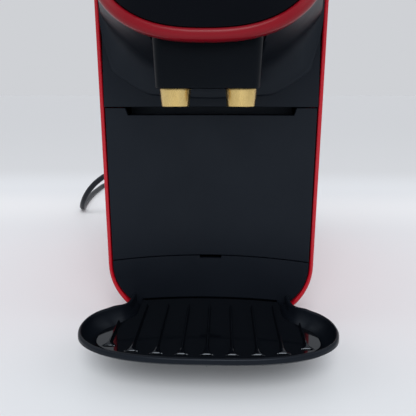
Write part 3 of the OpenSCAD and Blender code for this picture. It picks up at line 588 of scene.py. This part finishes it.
gloss_front = finish(
    "gloss_black_front", "030407", "07080c", 0.07, 2.5, 0.003, cloud=50.0, uneven=0.02,
    Specular_IOR_Level=0.09, Specular_Tint=(0.75, 0.85, 1.0, 1.0),
)
front = bent_grid(160, 16, front_point)
pull(front, front.faces[:], (0, 5.2, 0))
bmesh.ops.recalc_face_normals(front, faces=front.faces[:])
round_edges(front, 0.5, 3, lambda m, e: m.y < nose(m.x) + 2)
put_together("head_front_plate", front, gloss_front, "machine", "gloss_black", "head_front")


def oval_facing(angle, inset):
    """The point of the oval whose outline faces along an angle"""
    n = 2.5
    a = RING_A - inset
    b = (RING_LOW if math.sin(angle) < 0 else RING_HIGH) - inset
    c = abs(a * math.cos(angle)) ** (n / (n - 1))
    s = abs(b * math.sin(angle)) ** (n / (n - 1))
    whole = (c + s) ** (1 / n)
    x = a * power(a * math.cos(angle), 1 / (n - 1)) / whole
    z = b * power(b * math.sin(angle), 1 / (n - 1)) / whole
    return x, RING_Z + z


def root_facing(angle, inset):
    """The point of the head's root, a circle cut off by the casings, that faces along an angle"""
    reach = ROOT_R - inset + 1
    wall = HALF_W - CASING_T - inset
    if math.sin(angle) <= 0:
        below = math.asin(min(-math.sin(angle), 1.0))
        meets = math.acos(wall / reach)
        if below >= meets:
            return reach * math.cos(angle), ROOT_Z + reach * math.sin(angle)
        middle = TOP_Z - TOP_R
        corner = ROOT_Z - math.sqrt(reach ** 2 - wall ** 2)
        return math.copysign(wall, math.cos(angle)), middle + (corner - middle) * below / meets
    radius = TOP_R - CASING_T - inset
    x = math.copysign(HALF_W - TOP_R, math.cos(angle)) + radius * math.cos(angle)
    return x, TOP_Z - TOP_R + radius * math.sin(angle)


FLARE = 22.0
FLARE_AT = 0.6
SKIN_X = 69.2


def root_flare(angle):
    """Ring point, root point, direction, slope, and the flare's size and reach, facing along an angle"""
    ox, oz = oval_facing(angle, 1.0)
    rx, rz = root_facing(angle, 1.0)
    outward = (math.cos(angle), math.sin(angle))
    slope = math.atan(((rx - ox) * outward[0] + (rz - oz) * outward[1]) / 50)
    size = 0.0
    if outward[1] < 0:
        room = 2 + 1.2 * max(68.0 - abs(rx), 0)
        size = min(FLARE, (rz - 159) / -outward[1], room) * min(-outward[1] / 0.4, 1)
    wall_y = NICHE_AXIS + math.sqrt(NICHE_R ** 2 - rx ** 2)
    reach = size * math.tan((math.pi / 2 - slope) / 2) + math.tan(slope) * (wall_y - FACE)
    return ox, oz, rx, rz, outward, slope, size, reach


def head_point(u, v):
    """The head's skin: straight back from the ring, drawn in to the root, then flared onto the niche"""
    ox, oz, rx, rz, outward, slope, size, reach = root_flare(math.tau * u)
    ahead = nose(ox) + 8.3
    for _ in range(6):
        mix = min(max((ahead - FACE + 50) / 50, 0), 1)
        ahead = nose(ox + (rx - ox) * mix) + 8.3
    if outward[1] >= 0:
        y = ahead + (FACE + 12 - ahead) * v
        mix = min(max((y - FACE + 50) / 50, 0), 1)
        return ox + (rx - ox) * mix, y, oz + (rz - oz) * mix
    if v <= FLARE_AT:
        wall_y = NICHE_AXIS + math.sqrt(NICHE_R ** 2 - rx ** 2)
        last = wall_y - size * (1 - math.sin(slope))
        y = ahead + (last - ahead) * v / FLARE_AT
        mix = max((y - FACE + 50) / 50, 0)
        return ox + (rx - ox) * mix, y, oz + (rz - oz) * mix
    bend = slope + (math.pi / 2 - slope) * (v - FLARE_AT) / (1 - FLARE_AT)
    out = reach - size * math.cos(bend)
    x = rx + outward[0] * out
    z = rz + outward[1] * out
    y = NICHE_AXIS + math.sqrt(NICHE_R ** 2 - x ** 2) - size * (1 - math.sin(bend))
    return x, y - 0.05, z


skin = bent_grid(180, 30, head_point)
for side in (-1, 1):
    bmesh.ops.bisect_plane(
        skin, geom=skin.verts[:] + skin.edges[:] + skin.faces[:], dist=0.001,
        plane_co=(side * SKIN_X, 0, 0), plane_no=(side, 0, 0), clear_outer=True,
    )
collar_lines = [
    ((30, 0, 0), (1, 0, 0)), ((-30, 0, 0), (1, 0, 0)), ((0, FACE - 24, 0), (0, 1, 0)),
    ((30, FACE - 54, 0), (22, 17, 0)), ((-30, FACE - 54, 0), (-22, 17, 0)),
]
for place, facing in collar_lines:
    bmesh.ops.bisect_plane(
        skin, geom=skin.verts[:] + skin.edges[:] + skin.faces[:], dist=0.001,
        plane_co=place, plane_no=facing,
    )


def in_collar(middle):
    """Whether a point of the skin lies in the collar round the spout"""
    wide = 30 + max(FACE - 54 - middle.y, 0) * 17 / 22
    return abs(middle.x) < wide and middle.y < FACE - 24 and middle.z < 198


collar = skin.copy()
for shape, inside in ((skin, True), (collar, False)):
    dropped = [f for f in shape.faces if in_collar(f.calc_center_median()) == inside]
    bmesh.ops.delete(shape, geom=dropped, context="FACES")
bmesh.ops.translate(collar, verts=collar.verts[:], vec=(0, 0.4, 0.6))
put_together("head_shell_skin", skin, satin_panel, "machine", "satin_black", "head_shell", wall=2.4)
put_together(
    "spout_collar_skin", collar, satin_panel, "machine", "satin_black", "spout_collar",
    wall=2.4, soft_edge=0.4,
)

# The fixed niche panel, cut out to meet the head's flare
PANEL_X = 69.0
outline = [(-69.1, 154.3), (69.1, 154.3)]
curve = []
for step in range(178, 91, -1):
    flare = root_flare(math.tau * step / 180)
    reach = flare[7] - 1.5
    curve.append((flare[2] + flare[4][0] * reach, flare[3] + flare[4][1] * reach))
for (xa, za), (xb, zb) in zip(curve, curve[1:]):
    if abs(xa) < PANEL_X:
        outline.append((xa, za))
    if (abs(xa) < PANEL_X) != (abs(xb) < PANEL_X):
        edge = math.copysign(PANEL_X, xa + xb)
        outline.append((edge, za + (zb - za) * (edge - xa) / (xb - xa)))
put_together(
    "niche_panel", niche_panel(outline, 154.5), satin_panel, "machine", "niche_satin", "front_panel"
)

satin_black = finish(
    "satin_black", "06080b", "0b0e13", 0.36, 0.5, 0.012, cloud=60.0, uneven=0.05,
    Specular_IOR_Level=0.09, Specular_Tint=(0.78, 0.88, 1.0, 1.0),
)


# ---- Spout ----
# A satin black block with rounded upright edges hangs under the head and carries two turned brass nozzles.
# The nozzles are pressed in from below and widen a little towards the top.

NOZZLE_X = 18.0
NOZZLE_Y = FACE - 44
block = bmesh.new()
bmesh.ops.create_cube(block, size=1.0)
bmesh.ops.scale(block, verts=block.verts[:], vec=(55, 29, 28.4))
bmesh.ops.translate(block, verts=block.verts[:], vec=(0, FACE - 43.5, 179.8))
for corner in block.verts:
    if corner.co.z > 180:
        corner.co.x *= 28.8 / 27.5
round_edges(block, 5.0, 8, lambda m, e: abs(m.z - 179.8) < 0.1)
round_edges(block, 0.9, 3, lambda m, e: m.z < 166)
put_together("spout_block", block, satin_black, "machine", "satin_black", "spout_body")

# The brass's lighter and darker clouds are stretched upright: partly a tone that varies, partly painted
# highlights running up the nozzles
brass = finish(
    "turned_brass_painted_highlights", "bf9f5c", "e8cc8c", 0.27, 0.25, 0.008, cloud=6.0, stretch=(1, 1, 0.25), uneven=0.06,
    Metallic=1.0,
)
nozzle_profile = [
    (5.0, 9.6), (5.0, 0.5), (5.4, 0.0), (7.2, 0.0), (7.6, 0.3), (7.7, 0.9), (8.0, 3.6), (8.45, 8.4),
    (8.5, 9.2), (8.4, 9.6), (5.0, 9.6),
]
for side, name in ((-1, "left"), (1, "right")):
    foot = (side * NOZZLE_X, NOZZLE_Y, 156)
    nozzle = turned(nozzle_profile, foot, (0, 0, 1), 72)
    put_together("nozzle_tip_" + name, nozzle, brass, "machine", "brass", "nozzle_" + name)


# ---- Drip tray ----
# A shallow black saucer with a soft rounded lip, wider than the machine and moulded in one with the reservoir
# that slides in between the casings. Its underside draws in steeply so that the tray seems to float.

# Stations of the tray's outline from the middle of the front round to its neck: across and along at the lip,
# half way down the side and at the floor
tray_stations = [
    (0, -201.5, 0, -187.4, 0, -176.5), (18, -201.3, 18, -187.2, 15, -176.4),
    (34, -200.0, 33, -186.3, 28, -175.8), (48, -197.2, 45, -184.3, 38, -174.4),
    (60, -192.8, 55.5, -180.9, 46, -171.8), (69, -187.0, 63.3, -176.2, 52, -168.2),
    (75.3, -179.4, 68.8, -170.2, 56, -163.8), (78.35, -169.5, 71.4, -163.5, 57.5, -159),
    (78.35, -161, 71.2, -157, 57, -154), (76.4, -153.2, 69, -151, 54.8, -149.5),
    (72.0, -146.0, 65, -145.5, 51, -145.5), (66.0, -140.4, 59.5, -140.8, 46, -141.5),
    (60.6, -134.0, 55, -134.5, 41, -135), (57.4, -125.5, 52.6, -126, 37, -126),
    (56.2, -116, 51.6, -116, 33, -116), (56, -99.5, 51, -99.5, 30, -99.5),
]


def smooth_at(rows, part):
    """A point on a smooth curve through rows, part of the way along"""
    at = part * (len(rows) - 1)
    i = min(int(at), len(rows) - 2)
    t = at - i
    before, a, b, after = rows[max(i - 1, 0)], rows[i], rows[i + 1], rows[min(i + 2, len(rows) - 1)]
    if i == 0:
        before = (-b[0],) + tuple(b[1:])
    return [
        0.5 * (2 * q + (r - p) * t + (2 * p - 5 * q + 4 * r - w) * t ** 2 + (3 * q - p - 3 * r + w) * t ** 3)
        for p, q, r, w in zip(before, a, b, after)
    ]


def tray_edge(part, down):
    """A point of the tray's outside, part of the way round and part of the way down its side"""
    row = smooth_at(tray_stations, part)
    first = 2 * (down - 0.5) * (down - 1)
    second = -4 * down * (down - 1)
    third = 2 * down * (down - 0.5)
    x = row[0] * first + row[2] * second + row[4] * third
    y = row[1] * first + row[3] * second + row[5] * third
    return x, y, 21.5 * first + 13.4 * second + 6.4 * third


# The tray's section: how far down the side, how far in from the outside, and the height where it isn't the
# side's own
tray_section = [(1.0, 0.0, None), (0.8, 0.0, None), (0.6, 0.0, None), (0.4, 0.0, None), (0.2, 0.0, None)]
tray_section += [(0.0, 0.0, 22.5), (0.0, 0.05, 24.2), (0.0, 0.35, 24.9), (0.0, 0.8, 25.35)]
tray_section += [(0.0, 1.3, 25.5), (0.0, 1.8, 25.35), (0.0, 2.2, 24.9), (0.0, 2.4, 24.2)]
tray_section += [(0.0, 2.5, 22.5), (0.2, 2.4, None), (0.4, 2.3, None), (0.6, 2.2, None), (0.84, 2.2, None)]
NECK_START = 0.74
NECK_LENGTH = 0.13
NECK_DROP = 0.17


def tray_point(u, v):
    """A point of the tray's skin. Its rim sinks a little where the saucer turns into the neck"""
    down, inset, height = tray_section[round(v * (len(tray_section) - 1))]
    side = 1 if u < 0.5 else -1
    part = 1 - abs(2 * u - 1)
    x, y, low = tray_edge(part, down)
    x1, y1, _ = tray_edge(min(part + 0.002, 1), down)
    x0, y0, _ = tray_edge(max(part - 0.002, 0), down)
    length = math.hypot(x1 - x0, y1 - y0)
    x -= inset * (y1 - y0) / length
    y += inset * (x1 - x0) / length
    z = low if height is None else height
    sunk = min(max((part - NECK_START) / NECK_LENGTH, 0), 1)
    return side * x, y, 6.4 + (z - 6.4) * (1 - NECK_DROP * sunk ** 2 * (3 - 2 * sunk))


def join(shape, other):
    """Adds one shape to another"""
    mesh = bpy.data.meshes.new("joined")
    other.to_mesh(mesh)
    other.free()
    shape.from_mesh(mesh)
    bpy.data.meshes.remove(mesh)


tray_plastic = finish(
    "tray_black", "090c11", "10141b", 0.34, 0.6, 0.01, cloud=50.0, uneven=0.05,
    Specular_IOR_Level=0.17, Specular_Tint=(0.78, 0.88, 1.0, 1.0),
)
tray = bmesh.new()
bmesh.ops.create_grid(tray, x_segments=300, y_segments=len(tray_section) - 1, size=0.5)
for corner in tray.verts:
    corner.co = tray_point(corner.co.x + 0.5, corner.co.y + 0.5)
bmesh.ops.remove_doubles(tray, verts=tray.verts[:], dist=0.01)
bmesh.ops.holes_fill(tray, edges=[e for e in tray.edges if e.is_boundary], sides=0)
bmesh.ops.recalc_face_normals(tray, faces=tray.faces[:])
post_profile = [(0, 8.5), (2.9, 8.5), (2.5, 9.2), (2.5, 14.2), (2.2, 14.6), (0, 14.6)]
for x in (-34, 0, 34):
    for y in (FACE - 56, FACE - 14):
        join(tray, turned(post_profile, (x, y, 0), (0, 0, 1), 24))
put_together("tray_saucer", tray, tray_plastic, "tray", "tray_black", "drip_tray")

# The reservoir behind the upright: a trough with the body's rounded section, open at the top and towards the
# saucer's neck
trough = bmesh.new()
levels = [44, 40, 36, 32, 28, 24, 20, 17, 14, 11.5, 9.5, 8, 7, 6.4]
line = [(-tongue_x(z, 3.4), z) for z in levels] + [(tongue_x(z, 3.4), z) for z in reversed(levels)]
corners = [trough.verts.new((x, FACE + 15, z)) for x, z in line]
rim = [trough.edges.new(pair) for pair in zip(corners, corners[1:])]
drawn = bmesh.ops.extrude_edge_only(trough, edges=rim)["geom"]
moved = [v for v in drawn if isinstance(v, bmesh.types.BMVert)]
bmesh.ops.translate(trough, verts=moved, vec=(0, 61, 0))
back = [e for e in drawn if isinstance(e, bmesh.types.BMEdge) and all(v in moved for v in e.verts)]
tips = [v for v in moved if v.co.z > 43.9]
bmesh.ops.contextual_create(trough, geom=back + [trough.edges.new(tips)])
bmesh.ops.recalc_face_normals(trough, faces=trough.faces[:])
put_together(
    "tray_reservoir", trough, tray_plastic, "tray", "tray_black", "drip_tray", wall=2.2, soft_edge=0.5
)


# ---- Drip plate ----
# A glossy black plate that lies in the tray. Nine thin ribs carry the cup; each runs out at the front in a
# small flared foot.

PLATE_Z = 14.6
PLATE_T = 2.4
RIB_PITCH = 14.7
half = []
for i in range(31):
    angle = math.radians(-90 + 4 * i)
    reach = 21 if angle < 0 else 25.8
    x, y = 68.6 * power(math.cos(angle), 1 / 1.3), FACE - 50 + reach * power(math.sin(angle), 1 / 1.3)
    if angle > 0 and x < 55:
        break
    half.append((x, y))
half += [(52.5, FACE - 23.6), (50.6, FACE - 21.5), (49.6, FACE - 18.5), (49.4, FACE - 15)]
for i in range(12, -1, -1):
    x = 49.4 * i / 12
    half.append((x, NICHE_AXIS + math.sqrt((NICHE_R - 1.5) ** 2 - x ** 2)))
plate = bmesh.new()
outline = half + [(-x, y) for x, y in reversed(half[:-1])]
plate.faces.new([plate.verts.new((x, y, PLATE_Z)) for x, y in outline])
pull(plate, plate.faces[:], (0, 0, PLATE_T))
bmesh.ops.recalc_face_normals(plate, faces=plate.faces[:])
round_edges(plate, 0.6, 3, lambda m, e: m.z > PLATE_Z + 2)

# Rows of a rib from its front to its back: distance from the front, half widths at foot and crown, height
rib_rows = [
    (0.0, 4.5, 3.6, 0.25), (0.25, 4.6, 3.5, 0.75), (0.9, 4.4, 2.4, 1.15), (2.0, 3.6, 1.4, 1.5),
    (3.2, 2.6, 0.9, 1.9), (4.6, 1.9, 0.7, 2.3), (6.5, 1.4, 0.6, 2.55), (9.0, 1.1, 0.55, 2.6),
]


def rib_point(u, v, x, front):
    length = FACE - (31 if abs(x) > 52 else 6) - front
    rows = rib_rows + [(length - 3, 1.1, 0.55, 2.6), (length - 0.6, 1.0, 0.5, 2.2), (length, 0.9, 0.4, 0.3)]
    at, foot, crown, height = rows[round(v * (len(rows) - 1))]
    across = [(-foot, 0), (-0.55 * foot - 0.45 * crown, 0.12), (-crown, 0.55), (-0.8 * crown, 0.86),
              (-0.4 * crown, 1.0), (0.4 * crown, 1.0), (0.8 * crown, 0.86), (crown, 0.55),
              (0.55 * foot + 0.45 * crown, 0.12), (foot, 0)]
    side, lift = across[round(u * 9)]
    return x + side, front + at, PLATE_Z + PLATE_T + lift * height - 0.02


gloss_black = finish(
    "gloss_black", "040609", "080a0f", 0.08, 3.0, 0.004, cloud=60.0, uneven=0.03,
    Specular_Tint=(0.82, 0.9, 1.0, 1.0),
)
for i in range(9):
    x = (i - 4) * RIB_PITCH
    front_y = FACE - 68 + 8 * abs(x / 59) ** 4
    rib = bent_grid(9, 10, lambda u, v: rib_point(u, v, x, front_y))
    bmesh.ops.holes_fill(rib, edges=[e for e in rib.edges if e.is_boundary], sides=0)
    bmesh.ops.recalc_face_normals(rib, faces=rib.faces[:])
    join(plate, rib)
put_together("drip_plate_ribbed", plate, gloss_black, "plate", "gloss_black", "drip_plate")


# ---- Top ----
# A satin black cover clips between the casings. It has the capsule slot, two ears for the lever and a sunk
# gloss black panel with four round buttons that press dome switches.

COVER_Z = 269.4
LEVER_Y = FACE + 105
LEVER_Z = 276.0
BUTTON_Y = FACE + 146


def loop_of(shape, spots, z):
    """A closed line through spots at one height"""
    corners = [shape.verts.new((x, y, z)) for x, y in spots]
    for first, second in zip(corners, corners[1:] + corners[:1]):
        shape.edges.new((first, second))


def box_loop(x0, y0, x1, y1):
    return [(x0, y0), (x1, y0), (x1, y1), (x0, y1)]


def round_loop(x, y, radius, steps=40):
    turns = [math.tau * i / steps for i in range(steps)]
    return [(x + radius * math.cos(t), y + radius * math.sin(t)) for t in turns]


def pierced_plate(loops, z0, z1):
    """A flat plate filled between its outline and its holes, then given its thickness"""
    shape = bmesh.new()
    for spots in loops:
        loop_of(shape, spots, z0)
    bmesh.ops.triangle_fill(shape, use_beauty=True, edges=shape.edges[:])
    pull(shape, shape.faces[:], (0, 0, z1 - z0))
    bmesh.ops.recalc_face_normals(shape, faces=shape.faces[:])
    return shape


cover = pierced_plate([
    box_loop(-37.8, FACE + 14.4, 37.8, WALL),
    box_loop(-23, FACE + 34, 23, FACE + 67),
    box_loop(17, LEVER_Y - 34, 23, LEVER_Y + 3),
    box_loop(-23, LEVER_Y - 34, -17, LEVER_Y + 3),
    box_loop(-36, BUTTON_Y - 14, 36, BUTTON_Y + 14),
], COVER_Z, 272.0)
round_edges(cover, 0.5, 2, lambda m, e: m.z > 271.9)
for side in (-1, 1):
    ear = sorted((side * 30, side * 34))
    add_block(cover, (ear[0], LEVER_Y - 5, 271.5), (ear[1], LEVER_Y + 5, LEVER_Z + 4))
round_edges(cover, 1.8, 5, lambda m, e: m.z > 279.9 and abs(abs(m.y - LEVER_Y) - 5) < 0.1)
add_block(cover, (-36.4, BUTTON_Y - 14.4, COVER_Z - 0.2), (36.4, BUTTON_Y + 14.4, COVER_Z + 0.5))
put_together("cover_plate", cover, satin_black, "machine", "satin_black", "top_cover")

panel_loops = [box_loop(-35.8, BUTTON_Y - 13.8, 35.8, BUTTON_Y + 13.8)]
button_places = [(i - 1.5) * 16 for i in range(4)]
panel_loops += [round_loop(x, BUTTON_Y, 6.6) for x in button_places]
panel = pierced_plate(panel_loops, 270.0, 272.6)
round_edges(panel, 0.5, 3, lambda m, e: m.z > 272.5)
put_together("button_panel_plate", panel, gloss_front, "machine", "gloss_black", "button_panel")

soft_touch = finish("button_soft_touch", "1d1f24", "26292f", 0.48, 0.4, 0.015, cloud=8.0, uneven=0.05)
cap_profile = [
    (0, 265.0), (7.2, 265.0), (7.3, 265.2), (7.3, 265.9), (7.2, 266.0), (6.3, 266.0), (6.3, 273.2),
    (6.15, 273.7), (5.7, 273.97), (5.2, 274.0), (4.4, 273.85), (3.0, 273.5), (1.5, 273.32), (0, 273.3),
]
for i, x in enumerate(button_places):
    cap = turned(cap_profile, (x, BUTTON_Y, 0), (0, 0, 1), 48)
    number = str(i + 1)
    put_together(
        "button_cap_" + number, cap, soft_touch, "button_" + number, "button_grey", "button_" + number
    )


# ---- Lever ----
# One gloss black hood over the capsule slot, hinged at its back on a steel pin. Lifting it draws the piston
# forward with two tails below the cover. A thin chromed strip is let into its front edge.

lever = bmesh.new()
outline = [(-44, -179.5), (-44, -20.5), (-29.4, -20.5), (-29.4, -10.5), (29.4, -10.5), (29.4, -20.5),
           (44, -20.5), (44, -179.5)]
outline += [(28 + 16 * math.cos(a), -179.5 - 16 * math.sin(a))
            for a in [math.radians(9 * i) for i in range(1, 11)]]
outline += [(-28 - 16 * math.sin(a), -179.5 - 16 * math.cos(a))
            for a in [math.radians(9 * i) for i in range(0, 10)]]
lever.faces.new([lever.verts.new((x, y, 272.8)) for x, y in outline])
pull(lever, lever.faces[:], (0, 0, 7.2))
bmesh.ops.recalc_face_normals(lever, faces=lever.faces[:])
floor_face = [f for f in lever.faces if f.normal.z < -0.9]
bmesh.ops.inset_region(lever, faces=floor_face, thickness=9.0, use_even_offset=True)
bmesh.ops.translate(lever, verts=list({v for f in floor_face for v in f.verts}), vec=(0, 0, 3.2))
round_edges(lever, 2.2, 5, lambda m, e: m.z > 279.9)
round_edges(lever, 0.5, 2, lambda m, e: m.z < 272.9 and abs(m.y + 95) > 70)
for side in (-1, 1):
    tail = sorted((side * 18, side * 22))
    add_block(lever, (tail[0], LEVER_Y - 7, 249), (tail[1], LEVER_Y - 1, 273.8))
round_edges(lever, 1.2, 3, lambda m, e: m.z < 250)
knuckle = turned([(0, 0), (2.8, 0), (3.2, 0.4), (3.2, 58.4), (2.8, 58.8), (0, 58.8)],
                 (-29.4, LEVER_Y, LEVER_Z), (1, 0, 0), 40)
join(lever, knuckle)
put_together("lever_hood", lever, gloss_black, "lever", "gloss_black", "lever")

chrome = finish("bright_chrome", "c8cacd", "dcdee0", 0.1, 0.8, 0.002, cloud=20.0, uneven=0.03, Metallic=1.0)
strip = bmesh.new()
add_block(strip, (-27.8, -195.5, 273.0), (27.8, -194.5, 275.8))
round_edges(strip, 0.35, 3, lambda m, e: m.y < -195)
put_together("lever_strip", strip, chrome, "lever", "chrome", "lever_trim")


# ---- Rear housing ----
# Satin black moulding that closes the back: an upright wall between the casings with air slots near the top,
# and below it a round-cornered pedestal over the pump that carries the water tank. Screwed to the chassis.

wall = bmesh.new()
outer_low, outer_top = section(wall, 1, 2.9, WALL - 3)
left_low, left_top = section(wall, -1, 2.9, WALL - 3)
wall.edges.new((outer_low, left_low))
wall.edges.new((outer_top, left_top))
for slot_at in range(-4, 5):
    x0, x1 = slot_at * 9 - 1.5, slot_at * 9 + 1.5
    corners = [wall.verts.new((x, WALL - 3, z)) for x, z in ((x0, 256), (x1, 256), (x1, 264), (x0, 264))]
    for first, second in zip(corners, corners[1:] + corners[:1]):
        wall.edges.new((first, second))
bmesh.ops.triangle_fill(wall, use_beauty=True, edges=wall.edges[:])
pull(wall, wall.faces[:], (0, 3, 0))
bmesh.ops.recalc_face_normals(wall, faces=wall.faces[:])
round_edges(wall, 0.4, 2, lambda m, e: m.y > WALL - 0.1)


def tank_plan(inset, y0):
    """Outline of the tank seen from above: square at the front, round at the back"""
    x, y1, reach = 65 - inset, 201.5 - inset, 18 - inset
    spots = [(-x, y0), (x, y0)]
    for i in range(13):
        turn = math.radians(7.5 * i)
        spots.append((x - reach + reach * math.cos(turn), y1 - reach + reach * math.sin(turn)))
    for i in range(13):
        turn = math.radians(90 + 7.5 * i)
        spots.append((reach - x + reach * math.cos(turn), y1 - reach + reach * math.sin(turn)))
    return spots


pedestal = bmesh.new()
pedestal.faces.new([pedestal.verts.new((x, y, 3)) for x, y in tank_plan(1, WALL - 0.5)])
pull(pedestal, pedestal.faces[:], (0, 0, 85))
bmesh.ops.recalc_face_normals(pedestal, faces=pedestal.faces[:])
round_edges(pedestal, 1.2, 4, lambda m, e: m.z > 87.9)
round_edges(pedestal, 0.6, 2, lambda m, e: m.z < 3.1)
join(wall, pedestal)
put_together("rear_housing_shell", wall, satin_black, "machine", "satin_black", "rear_housing")


# ---- Water tank ----
# Blow-clear smoke grey tank that lifts off its pedestal, with a square front and round back corners. Its lid
# swings up on a steel pin between two ears at the back and has a scoop for a fingertip.

TANK_FRONT = 127.5
TANK_FOOT = 88.2
TANK_FLOOR = 100.8
TANK_RIM = 258

tank = bmesh.new()
tank.faces.new([tank.verts.new((x, y, TANK_FOOT)) for x, y in tank_plan(0, TANK_FRONT)])
pull(tank, tank.faces[:], (0, 0, TANK_RIM - TANK_FOOT))
bmesh.ops.recalc_face_normals(tank, faces=tank.faces[:])
round_edges(tank, 2.0, 4, lambda m, e: m.z < 88.3)
mouth = [f for f in tank.faces if f.normal.z > 0.9 and f.calc_center_median().z > 257]
bmesh.ops.inset_region(tank, faces=mouth, thickness=2.6, use_even_offset=True)
sunk = bmesh.ops.extrude_face_region(tank, geom=mouth)
bottom = [v for v in sunk["geom"] if isinstance(v, bmesh.types.BMVert)]
bmesh.ops.delete(tank, geom=mouth, context="FACES")
bmesh.ops.translate(tank, verts=bottom, vec=(0, 0, TANK_FLOOR - TANK_RIM))
bmesh.ops.recalc_face_normals(tank, faces=tank.faces[:])
round_edges(tank, 0.6, 2, lambda m, e: m.z > 257.9)
ear_line = [(193.5, 256.5), (201.4, 256.5)]
for step in range(13):
    turn = math.radians(15 * step)
    ear_line.append((197.45 + 3.95 * math.cos(turn), 262 + 3.95 * math.sin(turn)))
for start in (-25, 20.4):
    ear = bmesh.new()
    ear.faces.new([ear.verts.new((start, y, z)) for y, z in ear_line])
    pull(ear, ear.faces[:], (4.6, 0, 0))
    bmesh.ops.recalc_face_normals(ear, faces=ear.faces[:])
    join(tank, ear)
smoke = finish(
    "smoke_clear_tank", "5a6068", "6a7078", 0.08, 2.0, 0.004, cloud=90.0, uneven=0.03,
    Transmission_Weight=0.85, IOR=1.45,
)
put_together("tank_shell", tank, smoke, "tank", "tank_smoke", "water_tank")

# The lid, with a half-round notch at its front that the fingertip's dish fills
SCOOP_R = 13.0
SCOOP_DEPTH = 4.2
LID_FRONT = 127.9
LID_FOOT = 258.4
LID_TOP = 264.8
lid_plan = [(x, min(y, 192.5)) for x, y in tank_plan(0.4, LID_FRONT)]
notch = []
for step in range(25):
    turn = math.pi * step / 24
    notch.append((-SCOOP_R * math.cos(turn), LID_FRONT + SCOOP_R * math.sin(turn)))
lid_plan[1:1] = notch
lid = pierced_plate([lid_plan], LID_FOOT, LID_TOP)
round_edges(lid, 0.8, 3, lambda m, e: m.z > 264.7 and math.hypot(m.x, m.y - LID_FRONT) > 14)


def scoop_point(u, v):
    """The dish is a little wider and lower than the notch, so that their points stay apart"""
    reach = (SCOOP_R + 0.12) * v
    x, y = reach * math.cos(math.pi * u), reach * math.sin(math.pi * u)
    return x, LID_FRONT + y, 264.72 - SCOOP_DEPTH * (1 - v ** 2)


scoop = bent_grid(24, 10, scoop_point)
pull(scoop, scoop.faces[:], (0, 0, -1.8))
bmesh.ops.recalc_face_normals(scoop, faces=scoop.faces[:])
join(lid, scoop)
add_block(lid, (-20, 191.5, 259), (20, 197.5, LID_TOP))
knuckle_profile = [(0, 0), (2.6, 0), (3, 0.4), (3, 39.6), (2.6, 40), (0, 40)]
join(lid, turned(knuckle_profile, (-20, 197.5, 262), (1, 0, 0), 32))
put_together("tank_lid_cover", lid, gloss_black, "lid", "gloss_black", "tank_lid")


# ---- Works ----
# What the covers hide: the brewing unit, the pump, heater, hoses, boards and screws. They keep their shapes
# from the CAD model and take the finish that each is made in.

works = {
    "inner_plastic": finish("inner_plastic", "17191d", "20232a", 0.5, 0.6, 0.02),
    "rubber": rubber,
    "screw_steel": finish("zinc_screw", "8d9094", "a8abb0", 0.32, 0.3, 0.006, cloud=4.0, Metallic=1.0),
    "frame_steel": finish(
        "pressed_sheet", "75797e", "8f9398", 0.35, 0.5, 0.006, cloud=14.0, stretch=(1, 0.15, 1), Metallic=1.0
    ),
    "light_alloy": finish("cast_alloy", "8d9094", "a9acb0", 0.45, 0.5, 0.03, cloud=10.0, Metallic=1.0),
    "piston_white": finish("acetal_white", "b9bbbd", "cccdce", 0.35, 0.5, 0.008, cloud=20.0),
    "circuit_board": finish("solder_mask", "0b3a22", "11512f", 0.35, 0.7, 0.01, cloud=6.0),
    "hose_clear": finish("silicone_hose", "b9b8ae", "cfcec6", 0.4, 0.6, 0.01, cloud=12.0),
    "wire_red": finish("wire_sleeve", "7d1c1c", "9a2626", 0.45, 0.6, 0.01, cloud=8.0),
    "pin_metal": finish(
        "nickel_pins", "a9a79f", "c4c2ba", 0.22, 0.3, 0.003, cloud=5.0, stretch=(0.2, 1, 1), Metallic=1.0
    ),
    "red_casing": red_lacquer,
    "niche_satin": satin_panel,
    "satin_black": satin_black,
    "gloss_black": gloss_black,
    "tray_black": tray_plastic,
    "brass": brass,
    "chrome": chrome,
    "button_grey": soft_touch,
    "tank_smoke": smoke,
    "cord_black": pvc,
    "plug_black": hard_pvc,
}
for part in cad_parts.values():
    for place in part.material_slots:
        place.material = works[place.material.name.split(".")[0]]
